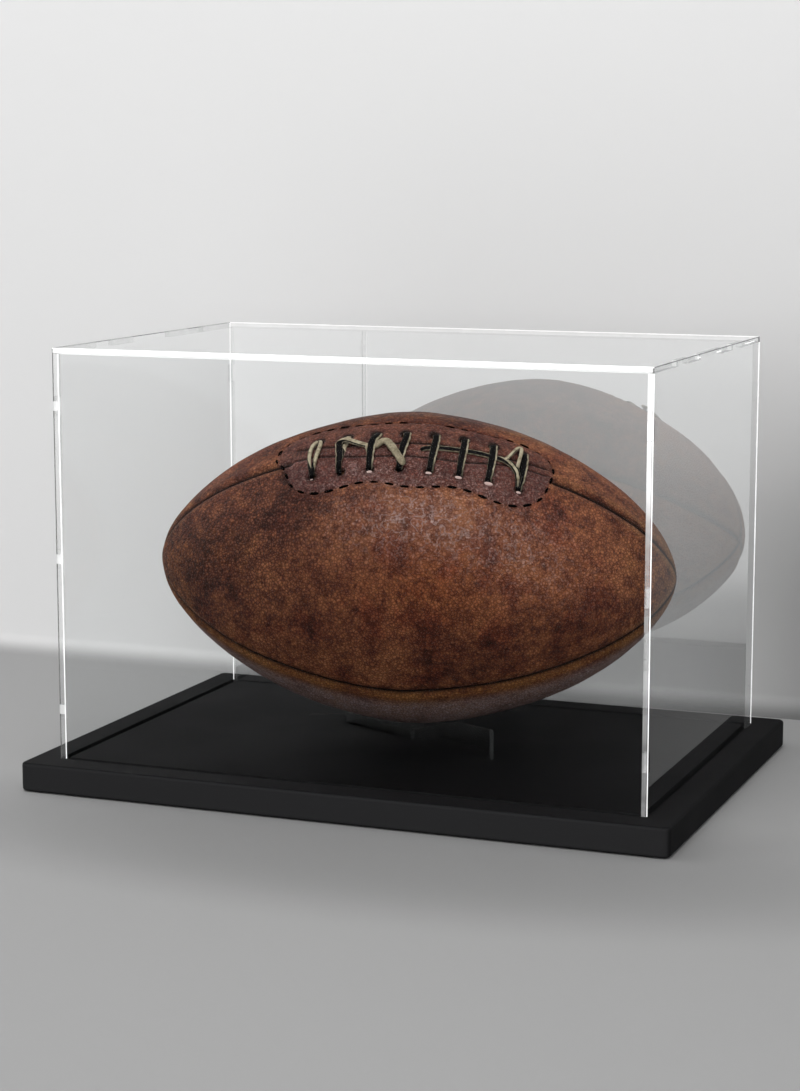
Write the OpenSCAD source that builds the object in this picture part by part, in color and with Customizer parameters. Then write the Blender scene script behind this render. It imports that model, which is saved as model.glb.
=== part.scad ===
// Football display case: a black base board with a routed groove, a clear acrylic
// cover of five tab-jointed panels, a two-plate crossed stand and the laced leather
// football that the case shows.
// Origin: centre of the base, on the surface that the case stands on. +X runs along
// the front, +Y to the back and +Z up. All sizes are in millimetres.

/* [Base board] */
// Width of the board that shows beyond the cover at each end
base_end_rim = 15.5; // [12:0.5:50]
// Width of the board that shows beyond the cover at the front and back
base_front_rim = 16.5; // [12:0.5:50]
// Thickness of the base board without its feet
base_thickness = 15; // [10:0.5:25]
// Radius of the board's upright corners
base_corner_radius = 4; // [2:0.5:12]
// Radius of the board's top and bottom edges
base_edge_radius = 1.5; // [1:0.5:3.5]
// Depth of the groove that holds the cover
groove_depth = 3; // [2:0.5:5]
// Space left between the cover and each wall of the groove
groove_clearance = 0.5; // [0.3:0.1:1]

/* [Foot pads] */
// Diameter of each rubber foot pad
foot_diameter = 20; // [12:1:30]
// Thickness of each foot pad
foot_thickness = 1.5; // [1.2:0.1:3]
// Depth of the pocket that each foot pad sits in
foot_pocket_depth = 1; // [0.5:0.1:1.1]
// Space left round each foot pad in its pocket
foot_pocket_clearance = 0.3; // [0.2:0.1:0.6]
// Distance from the board's sides to the middle of each foot pad
foot_inset = 28; // [20:1:50]

/* [Clear cover] */
// Length of the cover along the front
cover_length = 320; // [300:1:330]
// Depth of the cover, front to back
cover_depth = 213; // [205:1:225]
// Height of the cover from the floor of the groove to its top face
cover_height = 219.5; // [210:0.5:260]
// Thickness of the clear sheet of the cover
sheet_thickness = 3; // [2:0.5:4]
// Width of the two outer tabs on the top edge of a side panel
outer_tab_width = 19; // [10:1:25]
// Distance from the front or back of a side panel to its nearest outer tab
outer_tab_inset = 42; // [20:1:50]
// Width of the middle tab on the top edge of a side panel
middle_tab_width = 43; // [20:1:50]
// Width of each tab on the upright edges of the front and back panels
corner_tab_width = 10; // [6:1:16]
// Distance from the top of the cover to the middle of the first upright tab
corner_tab_first = 30; // [20:1:40]
// Distance from the middle of one upright tab to the next
corner_tab_pitch = 80; // [40:1:85]

/* [Crossed stand] */
// Length of each stand plate
stand_length = 117; // [100:1:130]
// Height of each stand plate at its ends
stand_height = 15.6; // [15:0.2:24]
// Thickness of each stand plate
stand_thickness = 3; // [2:0.5:4]
// Angle between each stand plate and the front of the case
stand_spread = 26.2; // [20:0.2:45]
// Radius of the hollow in the top edge of each stand plate
cradle_radius = 122; // [100:1:150]
// Half of the width of the hollow in the top edge
cradle_half_width = 33; // [20:1:42]
// Radius of the top corners of each stand plate
stand_corner_radius = 1.5; // [0.5:0.5:3]
// Space left at each side of the crossing slots
slot_clearance = 0.1; // [0.05:0.05:0.3]

/* [Football] */
// Length of the ball, tip to tip
ball_length = 278.5; // [270:0.5:290]
// Diameter of the ball at its middle
ball_diameter = 167; // [160:0.5:175]
// How bluntly the side of the ball bends away from its middle
belly_power = 1.73; // [1.6:0.01:2]
// How sharply the ball closes at its tips
tip_power = 0.58; // [0.5:0.01:0.65]
// Radius of the pinhole where the panels meet at each tip
tip_radius = 0.3; // [0.2:0.1:0.8]
// Turn of the ball about the upright axis
ball_turn = 13.9; // [0:0.1:20]
// Dip of the ball's right tip
ball_tilt = 1.5; // [0:0.1:2]
// Space left between the ball and the stand that carries it
ball_seat_gap = 0.25; // [0.1:0.05:0.5]
// Height of the laced seam as an angle from level, seen along the ball
lace_seam_angle = 54; // [40:1:60]
// Angle that the front panel of the ball spans
front_panel_angle = 94; // [88:1:98]
// Thickness of the leather
leather_thickness = 2.8; // [2:0.1:3.5]
// Depth of the groove along each seam
seam_depth = 1; // [0.5:0.1:1.5]
// Half of the angle that the groove along each seam spans
seam_half_angle = 0.7; // [0.4:0.1:1.2]
// Thickness of the cloth lining
lining_thickness = 1.2; // [0.8:0.1:2]
// Thickness of the rubber bladder
bladder_thickness = 1.2; // [0.8:0.1:2]
// Space left between one layer of the ball and the next
layer_gap = 0.3; // [0.2:0.05:0.5]

/* [Lacing] */
// Number of lace crossings
lace_count = 8; // [6:1:9]
// Distance from one lace crossing to the next
lace_pitch = 15.3; // [13:0.1:16.5]
// Distance from the middle of the ball to the middle of the lacing
lace_offset = 4.2; // [0:0.1:8]
// Distance from the seam to each row of lace holes
lace_hole_offset = 13.5; // [10:0.5:16]
// Diameter of each lace hole
lace_hole_diameter = 4.4; // [4:0.1:5]
// Width of the leather thong
thong_width = 3.2; // [2.6:0.1:3.4]
// Thickness of the leather thong
thong_thickness = 1.6; // [1:0.1:1.8]
// Length of the open slit in the laced seam
slit_length = 130; // [118:1:136]
// Half of the width of the open slit
slit_half_width = 2; // [1.8:0.1:3]
// Length of the two facings that back the lace holes
facing_length = 140; // [132:1:150]
// Width of both facings together, measured across the seam
facing_width = 51; // [42:1:56]
// Thickness of each facing
facing_thickness = 1.4; // [1:0.1:2]
// Length of the tongue under the lacing
tongue_length = 136; // [124:1:140]
// Width of the tongue under the lacing
tongue_width = 42; // [34:1:46]
// Thickness of the tongue under the lacing
tongue_thickness = 1.2; // [0.8:0.1:2]
// Width of the bladder's folded filling neck
neck_width = 12; // [8:1:16]
// Length of the bladder's folded filling neck
neck_length = 45; // [30:1:60]
// Thickness of the bladder's folded filling neck
neck_thickness = 3; // [2:0.5:4]

/* [Hidden] */

LEFT = -1;
RIGHT = 1;
FRONT = -1;
BACK = 1;

// Distance that a cutting shape runs past what it cuts
overcut = 1;
// Number of straight steps in one quarter of a rounded board edge
edge_steps = 5;
// Number of straight steps along the ball from tip to tip
ball_steps = 44;
// Number of straight steps along a short strip of the ball
strip_steps = 16;

// Sizes and heights of the base
base_length = cover_length + 2 * base_end_rim;
base_depth = cover_depth + 2 * base_front_rim;
board_bottom = foot_thickness - foot_pocket_depth;
board_top = board_bottom + base_thickness;
groove_floor = board_top - groove_depth;
groove_width = sheet_thickness + 2 * groove_clearance;

// Heights of the cover
cover_top = groove_floor + cover_height;
top_panel_bottom = cover_top - sheet_thickness;
side_panel_height = cover_height - sheet_thickness;

// The crossed stand: its plates cross at twice the spread, and cut slots that wide
stand_crossing = 2 * stand_spread;
slot_width = stand_thickness * (1 + cos(stand_crossing)) / sin(stand_crossing) + 2 * slot_clearance;
cradle_centre_height = stand_height + sqrt(pow(cradle_radius, 2) - pow(cradle_half_width, 2));
cradle_floor = cradle_centre_height - cradle_radius;
slot_height = cradle_floor / 2;

// Radius of the ball at distance x from its middle, less an inset of its whole outline
function ball_radius(x, inset = 0) =
    (ball_diameter / 2 - inset)
    * pow(max(0, 1 - pow(abs(x) / (ball_length / 2 - inset), belly_power)), tip_power);

// Height of the hollow's edge at distance s along a stand plate
function cradle_edge(s) =
    abs(s) > cradle_half_width
        ? stand_height
        : cradle_centre_height - sqrt(pow(cradle_radius, 2) - pow(s, 2));

// Height of the ball's underside against its middle, over the plan position (x, y)
function underside(x, y) =
    let (
        along = (x * cos(ball_turn) + y * sin(ball_turn) + ball_diameter / 2 * sin(ball_tilt))
            / cos(ball_tilt),
        across = y * cos(ball_turn) - x * sin(ball_turn)
    )
    -along * sin(ball_tilt)
    - cos(ball_tilt) * sqrt(max(0, pow(ball_radius(along), 2) - pow(across, 2)));

// Height of the ball's middle over the board at which it meets the stand's plates
seat_steps = 60;
ball_rest_height = max([
    for (side = [-1, 1], step = [0 : seat_steps], face = [-1, 1])
        let (
            s = stand_length * (step / seat_steps - 0.5),
            offset = face * stand_thickness / 2,
            x = s * cos(stand_spread) - side * offset * sin(stand_spread),
            y = side * s * sin(stand_spread) + offset * cos(stand_spread)
        )
        cradle_edge(s) - underside(x, y)
]);
ball_height = board_top + ball_rest_height + ball_seat_gap;

// Place of the first lace crossing along the ball
lace_first = lace_offset - lace_pitch * (lace_count - 1) / 2;

// Depths of the ball's layers below its outer surface
lining_depth = leather_thickness + layer_gap;
bladder_depth = lining_depth + lining_thickness + layer_gap;
facing_depth = lining_depth;
inner_thong_depth = facing_depth + facing_thickness + layer_gap;
hole_angle = lace_hole_offset / (ball_diameter / 2) * 180 / PI;
thong_bow = (ball_diameter / 2 - inner_thong_depth) * (1 - cos(hole_angle));
thong_lean = thong_width / 2 * sin(abs(slope_at(lace_x(lace_count - 1))));
tongue_depth = inner_thong_depth + thong_thickness + thong_bow + thong_lean + layer_gap;
neck_depth = tongue_depth + tongue_thickness + layer_gap;
pocket_depth = neck_depth + neck_thickness;

// Half angles of the strips that follow the laced seam
slit_half_angle = slit_half_width / (ball_diameter / 2) * 180 / PI;
facing_half_angle = facing_width / ball_diameter * 180 / PI;
tongue_half_angle = tongue_width / ball_diameter * 180 / PI;
neck_half_angle = neck_width / ball_diameter * 180 / PI;
pocket_half_angle = tongue_half_angle + 1;

// Seams of the ball, as angles from the laced seam over the top of the ball
other_panel_angle = (360 - front_panel_angle) / 3;
seam_laced = 0;
seam_back_upper = other_panel_angle;
seam_back_lower = 2 * other_panel_angle;
seam_front_lower = 360 - front_panel_angle;

function lace_x(i) = lace_first + i * lace_pitch;
function hole_angle_at(x) = lace_hole_offset / ball_radius(x) * 180 / PI;
function slope_at(x) = atan(ball_radius(x + 0.5) - ball_radius(x - 0.5));

BOARD_BLACK = [0.10, 0.10, 0.10];
RUBBER_BLACK = [0.05, 0.05, 0.05];
CLEAR_ACRYLIC = [0.86, 0.92, 0.95, 0.3];
LEATHER_BROWN = [0.36, 0.21, 0.14];
LINING_CLOTH = [0.78, 0.72, 0.60];
BLADDER_RUBBER = [0.55, 0.20, 0.14];
FACING_LEATHER = [0.32, 0.16, 0.15];
LACE_LEATHER = [0.62, 0.56, 0.44];

// ---- Base ----

module corner_post() {
    flat = base_corner_radius - base_edge_radius;
    edge = [
        for (step = [0 : edge_steps])
            let (a = 90 * step / edge_steps)
            [flat + base_edge_radius * sin(a), base_edge_radius * (1 - cos(a))]
    ];
    upper_edge = [
        for (step = [edge_steps : -1 : 0])
            [edge[step][0], base_thickness - edge[step][1]]
    ];
    rotate_extrude($fn = 32)
        polygon(concat([[0, 0]], edge, upper_edge, [[0, base_thickness]]));
}

module board_blank() {
    hull()
        for (x = [LEFT, RIGHT], y = [FRONT, BACK])
            translate([
                x * (base_length / 2 - base_corner_radius),
                y * (base_depth / 2 - base_corner_radius),
                board_bottom
            ])
                corner_post();
}

module cover_groove() {
    outer = [cover_length + 2 * groove_clearance, cover_depth + 2 * groove_clearance];
    inner = outer - 2 * [groove_width, groove_width];
    translate([0, 0, groove_floor])
        linear_extrude(groove_depth + overcut)
            difference() {
                square(outer, center = true);
                square(inner, center = true);
            }
}

module at_foot(x, y) {
    translate([x * (base_length / 2 - foot_inset), y * (base_depth / 2 - foot_inset), 0])
        children();
}

module base_board() {
    color(BOARD_BLACK)
        difference() {
            board_blank();
            cover_groove();
            for (x = [LEFT, RIGHT], y = [FRONT, BACK])
                at_foot(x, y)
                    translate([0, 0, board_bottom - overcut])
                        cylinder(
                            h = foot_pocket_depth + overcut,
                            d = foot_diameter + 2 * foot_pocket_clearance,
                            $fn = 48
                        );
        }
}

module foot_pad(x, y) {
    bevel = foot_thickness / 5;
    radius = foot_diameter / 2;
    color(RUBBER_BLACK)
        at_foot(x, y)
            rotate_extrude($fn = 48)
                polygon([
                    [0, 0], [radius - bevel, 0], [radius, bevel],
                    [radius, foot_thickness], [0, foot_thickness]
                ]);
}

// ---- Clear cover ----

// Distances from the middle of a side panel to its top tabs, each with its width
side_tabs = [
    [-(cover_depth / 2 - outer_tab_inset - outer_tab_width / 2), outer_tab_width],
    [0, middle_tab_width],
    [cover_depth / 2 - outer_tab_inset - outer_tab_width / 2, outer_tab_width]
];
// Heights of the middles of the upright tabs
corner_tab_heights = [for (i = [0 : 2]) cover_top - corner_tab_first - i * corner_tab_pitch];

module side_tab_blocks(side) {
    for (tab = side_tabs)
        translate([side * (cover_length - sheet_thickness) / 2, tab[0], top_panel_bottom])
            linear_extrude(sheet_thickness)
                square([sheet_thickness, tab[1]], center = true);
}

module corner_tab_blocks(side, face) {
    for (height = corner_tab_heights)
        translate([
            side * (cover_length - sheet_thickness) / 2,
            face * (cover_depth - sheet_thickness) / 2,
            height
        ])
            cube([sheet_thickness, sheet_thickness, corner_tab_width], center = true);
}

module cover_side_panel(side) {
    color(CLEAR_ACRYLIC)
        difference() {
            union() {
                translate([side * (cover_length - sheet_thickness) / 2, 0, groove_floor])
                    linear_extrude(side_panel_height)
                        square([sheet_thickness, cover_depth], center = true);
                side_tab_blocks(side);
            }
            for (face = [FRONT, BACK])
                corner_tab_blocks(side, face);
        }
}

module cover_end_panel(face) {
    inner_length = cover_length - 2 * sheet_thickness;
    color(CLEAR_ACRYLIC)
        union() {
            translate([0, face * (cover_depth - sheet_thickness) / 2, groove_floor])
                linear_extrude(side_panel_height)
                    square([inner_length, sheet_thickness], center = true);
            for (side = [LEFT, RIGHT])
                corner_tab_blocks(side, face);
        }
}

module cover_top_panel() {
    color(CLEAR_ACRYLIC)
        translate([0, 0, top_panel_bottom])
            linear_extrude(sheet_thickness)
                difference() {
                    square([cover_length, cover_depth], center = true);
                    for (side = [LEFT, RIGHT], tab = side_tabs)
                        translate([side * cover_length / 2, tab[0]])
                            square([2 * sheet_thickness, tab[1]], center = true);
                }
}

// ---- Crossed stand ----

module stand_outline() {
    rounded_height = stand_height - stand_corner_radius;
    union() {
        translate([-stand_length / 2, 0])
            square([stand_length, rounded_height]);
        translate([-stand_length / 2 + stand_corner_radius, 0])
            square([stand_length - 2 * stand_corner_radius, stand_height]);
        for (side = [LEFT, RIGHT])
            translate([side * (stand_length / 2 - stand_corner_radius), rounded_height])
                circle(r = stand_corner_radius, $fn = 32);
    }
}

module stand_plate(side, slot_bottom, slot_top) {
    color(CLEAR_ACRYLIC)
        translate([0, 0, board_top])
            rotate([90, 0, side * stand_spread])
                translate([0, 0, -stand_thickness / 2])
                    linear_extrude(stand_thickness)
                        difference() {
                            stand_outline();
                            translate([0, cradle_centre_height])
                                circle(r = cradle_radius, $fn = 180);
                            translate([-slot_width / 2, slot_bottom])
                                square([slot_width, slot_top - slot_bottom]);
                        }
}

module stand_lower_plate() {
    stand_plate(1, slot_height, stand_height + overcut);
}

module stand_upper_plate() {
    stand_plate(-1, -overcut, slot_height);
}

// ---- Football, drawn with its laced seam upward and its long axis along X ----

module place_ball() {
    translate([0, 0, ball_height])
        rotate([0, ball_tilt, ball_turn])
            rotate([90 - lace_seam_angle, 0, 0])
                children();
}

// Turns an outline of [radius, distance along the ball] from one angle to another
module gore(from, to) {
    rotate([0, 90, 0])
        rotate([0, 0, 180 - to])
            rotate_extrude(angle = to - from, $fn = 96)
                children();
}

// Turn along the outline at which it comes down to the pinhole
function tip_turn(inset) =
    let (closing = pow(tip_radius / (ball_diameter / 2 - inset), 1 / tip_power))
    asin(pow(1 - closing, 1 / belly_power));

function ball_outline(inset) = [
    for (step = [0 : ball_steps])
        let (
            turn = tip_turn(inset) * (2 * step / ball_steps - 1),
            x = (ball_length / 2 - inset) * sin(turn)
        )
        [ball_radius(x, inset), x]
];

function strip_line(x_from, x_to, inset) = [
    for (step = [0 : strip_steps])
        let (x = x_from + (x_to - x_from) * step / strip_steps)
        [ball_radius(x, inset), x]
];

// A layer of the whole ball between two depths
module layer_profile(outer, inner) {
    inner_line = ball_outline(inner);
    polygon(concat(ball_outline(outer), [for (i = [ball_steps : -1 : 0]) inner_line[i]]));
}

// A layer of a stretch of the ball between two depths
module strip_profile(x_from, x_to, outer, inner) {
    inner_line = strip_line(x_from, x_to, inner);
    polygon(concat(
        strip_line(x_from, x_to, outer),
        [for (i = [strip_steps : -1 : 0]) inner_line[i]]
    ));
}

// An outline with round ends about the lacing
module round_ended_prism(length, width) {
    translate([lace_offset, 0, 0])
        linear_extrude(ball_diameter)
            union() {
                square([length - width, width], center = true);
                for (side = [LEFT, RIGHT])
                    translate([side * (length - width) / 2, 0])
                        circle(d = width, $fn = 64);
            }
}

module lace_hole_row(row) {
    for (i = [0 : lace_count - 1])
        rotate([-row * hole_angle_at(lace_x(i)), 0, 0])
            translate([lace_x(i), 0, ball_radius(lace_x(i)) - tongue_depth])
                cylinder(h = tongue_depth + 3 * overcut, d = lace_hole_diameter, $fn = 24);
}

module slit_cutter() {
    gore(-slit_half_angle, slit_half_angle)
        strip_profile(
            lace_offset - slit_length / 2, lace_offset + slit_length / 2,
            -overcut, tongue_depth
        );
}

module ball_panel(from, to) {
    color(LEATHER_BROWN)
        place_ball()
            difference() {
                gore(from, to)
                    layer_profile(0, leather_thickness);
                gore(from - seam_half_angle, from + seam_half_angle)
                    layer_profile(-overcut, seam_depth);
                gore(to - seam_half_angle, to + seam_half_angle)
                    layer_profile(-overcut, seam_depth);
                if (from == seam_laced || to == seam_laced) {
                    slit_cutter();
                    lace_hole_row(to == seam_laced ? -1 : 1);
                }
            }
}

module ball_lining(from, to) {
    color(LINING_CLOTH)
        place_ball()
            difference() {
                gore(from, to)
                    layer_profile(lining_depth, lining_depth + lining_thickness);
                if (from == seam_laced || to == seam_laced)
                    round_ended_prism(facing_length + 2 * layer_gap, facing_width + 2 * layer_gap);
            }
}

module lace_facing(from, to, row) {
    color(FACING_LEATHER)
        place_ball()
            difference() {
                intersection() {
                    gore(from, to)
                        strip_profile(
                            lace_offset - facing_length / 2 - overcut,
                            lace_offset + facing_length / 2 + overcut,
                            facing_depth, facing_depth + facing_thickness
                        );
                    round_ended_prism(facing_length, facing_width);
                }
                lace_hole_row(row);
            }
}

module lace_tongue() {
    color(FACING_LEATHER)
        place_ball()
            gore(-tongue_half_angle, tongue_half_angle)
                strip_profile(
                    lace_offset - tongue_length / 2, lace_offset + tongue_length / 2,
                    tongue_depth, tongue_depth + tongue_thickness
                );
}

// The whole ball, solid, at an inset
module ball_core(inset) {
    line = ball_outline(inset);
    rotate([0, 90, 0])
        rotate_extrude($fn = 96)
            polygon(concat([[0, line[0][1]]], line, [[0, line[ball_steps][1]]]));
}

// The space under the lacing that the bladder leaves to the tongue and its own neck
module lace_pocket(margin) {
    half_length = tongue_length / 2 + layer_gap + margin;
    half_angle = pocket_half_angle + margin / (ball_diameter / 2) * 180 / PI;
    gore(-half_angle, half_angle)
        strip_profile(
            lace_offset - half_length, lace_offset + half_length,
            -overcut, pocket_depth + margin
        );
}

module filling_neck() {
    gore(-neck_half_angle, neck_half_angle)
        strip_profile(
            lace_offset - neck_length / 2, lace_offset + neck_length / 2,
            neck_depth, pocket_depth + bladder_thickness / 2
        );
}

module ball_bladder() {
    color(BLADDER_RUBBER)
        place_ball()
            union() {
                difference() {
                    ball_core(bladder_depth);
                    lace_pocket(0);
                    difference() {
                        ball_core(bladder_depth + bladder_thickness);
                        lace_pocket(bladder_thickness);
                    }
                }
                filling_neck();
            }
}

// One thong crossing over the seam, with its two legs through the lace holes
module lace_crossing(x) {
    reach = hole_angle_at(x);
    leg_length = inner_thong_depth + thong_thickness + layer_gap + thong_thickness;
    gore(-reach, reach)
        translate([ball_radius(x) + layer_gap + thong_thickness / 2, x])
            rotate(-slope_at(x))
                square([thong_thickness, thong_width], center = true);
    for (row = [-1, 1])
        rotate([-row * reach, 0, 0])
            translate([
                x,
                0,
                ball_radius(x) + layer_gap + thong_thickness - leg_length / 2
            ])
                cube([thong_width, thong_thickness, leg_length], center = true);
}

// A point at distance x along the ball and an angle from the seam, at a depth
function ball_point(x, angle, depth) =
    let (radius = ball_radius(x, depth))
    [x, radius * sin(angle), radius * cos(angle)];

function inner_point(x, angle) = ball_point(x, angle, inner_thong_depth + thong_thickness / 2);

function outer_point(x, angle) =
    let (bow = ball_radius(x) * (1 - cos(angle)))
    ball_point(x, angle, -layer_gap - thong_thickness / 2 - bow);

// A straight stretch of thong from one point to another
module thong_between(start, end) {
    run = end - start;
    middle = (start + end) / 2;
    translate(middle)
        rotate([0, -atan2(run[2], norm([run[0], run[1]])), atan2(run[1], run[0])])
            cube([norm(run) + thong_thickness, thong_width, thong_thickness], center = true);
}

// A stretch of thong laid along the slit
module thong_in_slit(x_from, x_to) {
    half_angle = thong_thickness / ball_diameter * 180 / PI;
    gore(-half_angle, half_angle)
        strip_profile(x_from, x_to, -layer_gap - thong_thickness / 4, thong_width / 2);
}

module ball_lace() {
    color(LACE_LEATHER)
        place_ball()
            union() {
                for (i = [0 : lace_count - 1])
                    lace_crossing(lace_x(i));
                for (i = [0 : lace_count - 2])
                    thong_between(
                        inner_point(lace_x(i), -hole_angle_at(lace_x(i))),
                        inner_point(lace_x(i + 1), hole_angle_at(lace_x(i + 1)))
                    );
                thong_in_slit(lace_x(1), lace_x(2));
                thong_in_slit(lace_x(4), lace_x(lace_count - 1));
                thong_between(
                    outer_point(lace_x(2), hole_angle_at(lace_x(2)) / 2),
                    outer_point(lace_x(3), -hole_angle_at(lace_x(3)) * 2 / 3)
                );
            }
}

base_board();
foot_pad(LEFT, FRONT);  // foot_pad_front_left
foot_pad(RIGHT, FRONT);  // foot_pad_front_right
foot_pad(LEFT, BACK);  // foot_pad_back_left
foot_pad(RIGHT, BACK);  // foot_pad_back_right
stand_lower_plate();
stand_upper_plate();
cover_end_panel(FRONT);  // cover_front_panel
cover_end_panel(BACK);  // cover_back_panel
cover_side_panel(LEFT);  // cover_left_panel
cover_side_panel(RIGHT);  // cover_right_panel
cover_top_panel();
ball_panel(seam_front_lower - 360, seam_laced);  // ball_front_panel
ball_panel(seam_laced, seam_back_upper);  // ball_top_panel
ball_panel(seam_back_upper, seam_back_lower);  // ball_back_panel
ball_panel(seam_back_lower, seam_front_lower);  // ball_bottom_panel
ball_lining(seam_front_lower - 360, seam_laced);  // ball_front_lining
ball_lining(seam_laced, seam_back_upper);  // ball_top_lining
ball_lining(seam_back_upper, seam_back_lower);  // ball_back_lining
ball_lining(seam_back_lower, seam_front_lower);  // ball_bottom_lining
ball_bladder();
lace_tongue();
lace_facing(-facing_half_angle - 1, -slit_half_angle, -1);  // lace_front_facing
lace_facing(slit_half_angle, facing_half_angle + 1, 1);  // lace_top_facing
ball_lace();
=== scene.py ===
"""Looks of a football display case: black base board, clear tab-jointed cover, crossed stand and laced ball."""

from __future__ import annotations

import logging
import math
from collections import Counter
from dataclasses import dataclass, field
from enum import Enum, IntEnum
from typing import Any, Iterator, Sequence

import bpy
import numpy as np
from mathutils import Matrix, Vector


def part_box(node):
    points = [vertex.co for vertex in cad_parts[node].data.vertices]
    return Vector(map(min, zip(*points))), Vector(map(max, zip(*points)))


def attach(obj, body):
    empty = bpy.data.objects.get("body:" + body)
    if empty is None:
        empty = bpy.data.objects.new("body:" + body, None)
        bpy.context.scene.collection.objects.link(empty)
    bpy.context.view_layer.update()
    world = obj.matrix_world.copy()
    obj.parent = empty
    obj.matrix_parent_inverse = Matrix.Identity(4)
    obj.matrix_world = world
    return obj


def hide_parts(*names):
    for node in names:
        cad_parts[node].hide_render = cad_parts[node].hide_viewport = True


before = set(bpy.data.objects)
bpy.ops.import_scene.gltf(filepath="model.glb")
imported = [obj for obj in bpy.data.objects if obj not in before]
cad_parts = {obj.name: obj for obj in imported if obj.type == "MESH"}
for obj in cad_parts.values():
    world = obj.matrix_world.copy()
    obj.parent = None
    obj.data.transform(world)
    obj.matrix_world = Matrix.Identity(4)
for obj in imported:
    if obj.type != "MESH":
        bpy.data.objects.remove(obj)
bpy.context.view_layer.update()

LOG = logging.getLogger("display_case")
MM = 0.001
Colour = tuple[float, float, float, float]
Point = tuple[float, float, float]
FLAT_ON = 0.9
CUBE = ((0, 2, 3, 1), (4, 5, 7, 6), (0, 1, 5, 4), (2, 6, 7, 3), (0, 4, 6, 2), (1, 3, 7, 5))
PANELS = ("front", "top", "back", "bottom")
EXTENT = ("Length", "Width", "Height")


def srgb(red: float, green: float, blue: float) -> Colour:
    """Turns a colour as a screen shows it into the linear colour that a shader takes.

    Args:
        red: Red from 0 to 255.
        green: Green from 0 to 255.
        blue: Blue from 0 to 255.

    Returns:
        The linear colour with an alpha of 1.
    """

    def linear(value: float) -> float:
        """Gives one linear channel."""
        part = value / 255
        return part / 12.92 if part <= 0.04045 else ((part + 0.055) / 1.055) ** 2.4

    return (linear(red), linear(green), linear(blue), 1.0)


def even(level: float) -> Colour:
    """Gives the grey whose linear level is given."""
    return (level, level, level, 1.0)


def fade(distance: np.ndarray | float, width: float) -> np.ndarray:
    """Gives a soft bump that is 1 at no distance and fades out over a width."""
    return np.exp(-np.square(np.asarray(distance) / width))


def ease(value: np.ndarray | float, low: float, high: float) -> np.ndarray:
    """Gives a smooth step from 0 at the low value to 1 at the high one."""
    part = np.clip((np.asarray(value, float) - low) / (high - low), 0, 1)
    return part * part * (3 - 2 * part)


# ---------------------------------------------------------------- shader sheets


class Wire:
    """An output socket whose Python arithmetic adds Math nodes."""

    def __init__(self, sheet: Sheet, socket: bpy.types.NodeSocket) -> None:
        """Keeps the sheet and the socket."""
        self.sheet = sheet
        self.socket = socket

    def _math(self, operation: str, first: Any, second: Any) -> Wire:
        """Adds one Math node and gives its value."""
        return self.sheet.node("ShaderNodeMath", {"operation": operation}, {0: first, 1: second})

    def __add__(self, other: Any) -> Wire:
        """Adds."""
        return self._math("ADD", self, other)

    __radd__ = __add__

    def __sub__(self, other: Any) -> Wire:
        """Subtracts."""
        return self._math("SUBTRACT", self, other)

    def __rsub__(self, other: Any) -> Wire:
        """Subtracts from a number."""
        return self._math("SUBTRACT", other, self)

    def __mul__(self, other: Any) -> Wire:
        """Multiplies."""
        return self._math("MULTIPLY", self, other)

    __rmul__ = __mul__

    def __truediv__(self, other: Any) -> Wire:
        """Divides."""
        return self._math("DIVIDE", self, other)

    def most(self, other: Any) -> Wire:
        """Gives the larger value."""
        return self._math("MAXIMUM", self, other)

    def clamp(self) -> Wire:
        """Holds the value between 0 and 1."""
        return self.sheet.node("ShaderNodeClamp", {}, {0: self})

    def step(self, low: float, high: float) -> Wire:
        """Gives a smooth step of the value.

        Args:
            low: The value at which the step is 0.
            high: The value at which the step is 1.

        Returns:
            The stepped value.
        """
        settings = {"interpolation_type": "SMOOTHSTEP"}
        return self.sheet.node("ShaderNodeMapRange", settings, {0: self, 1: low, 2: high, 3: 0.0, 4: 1.0})


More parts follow.
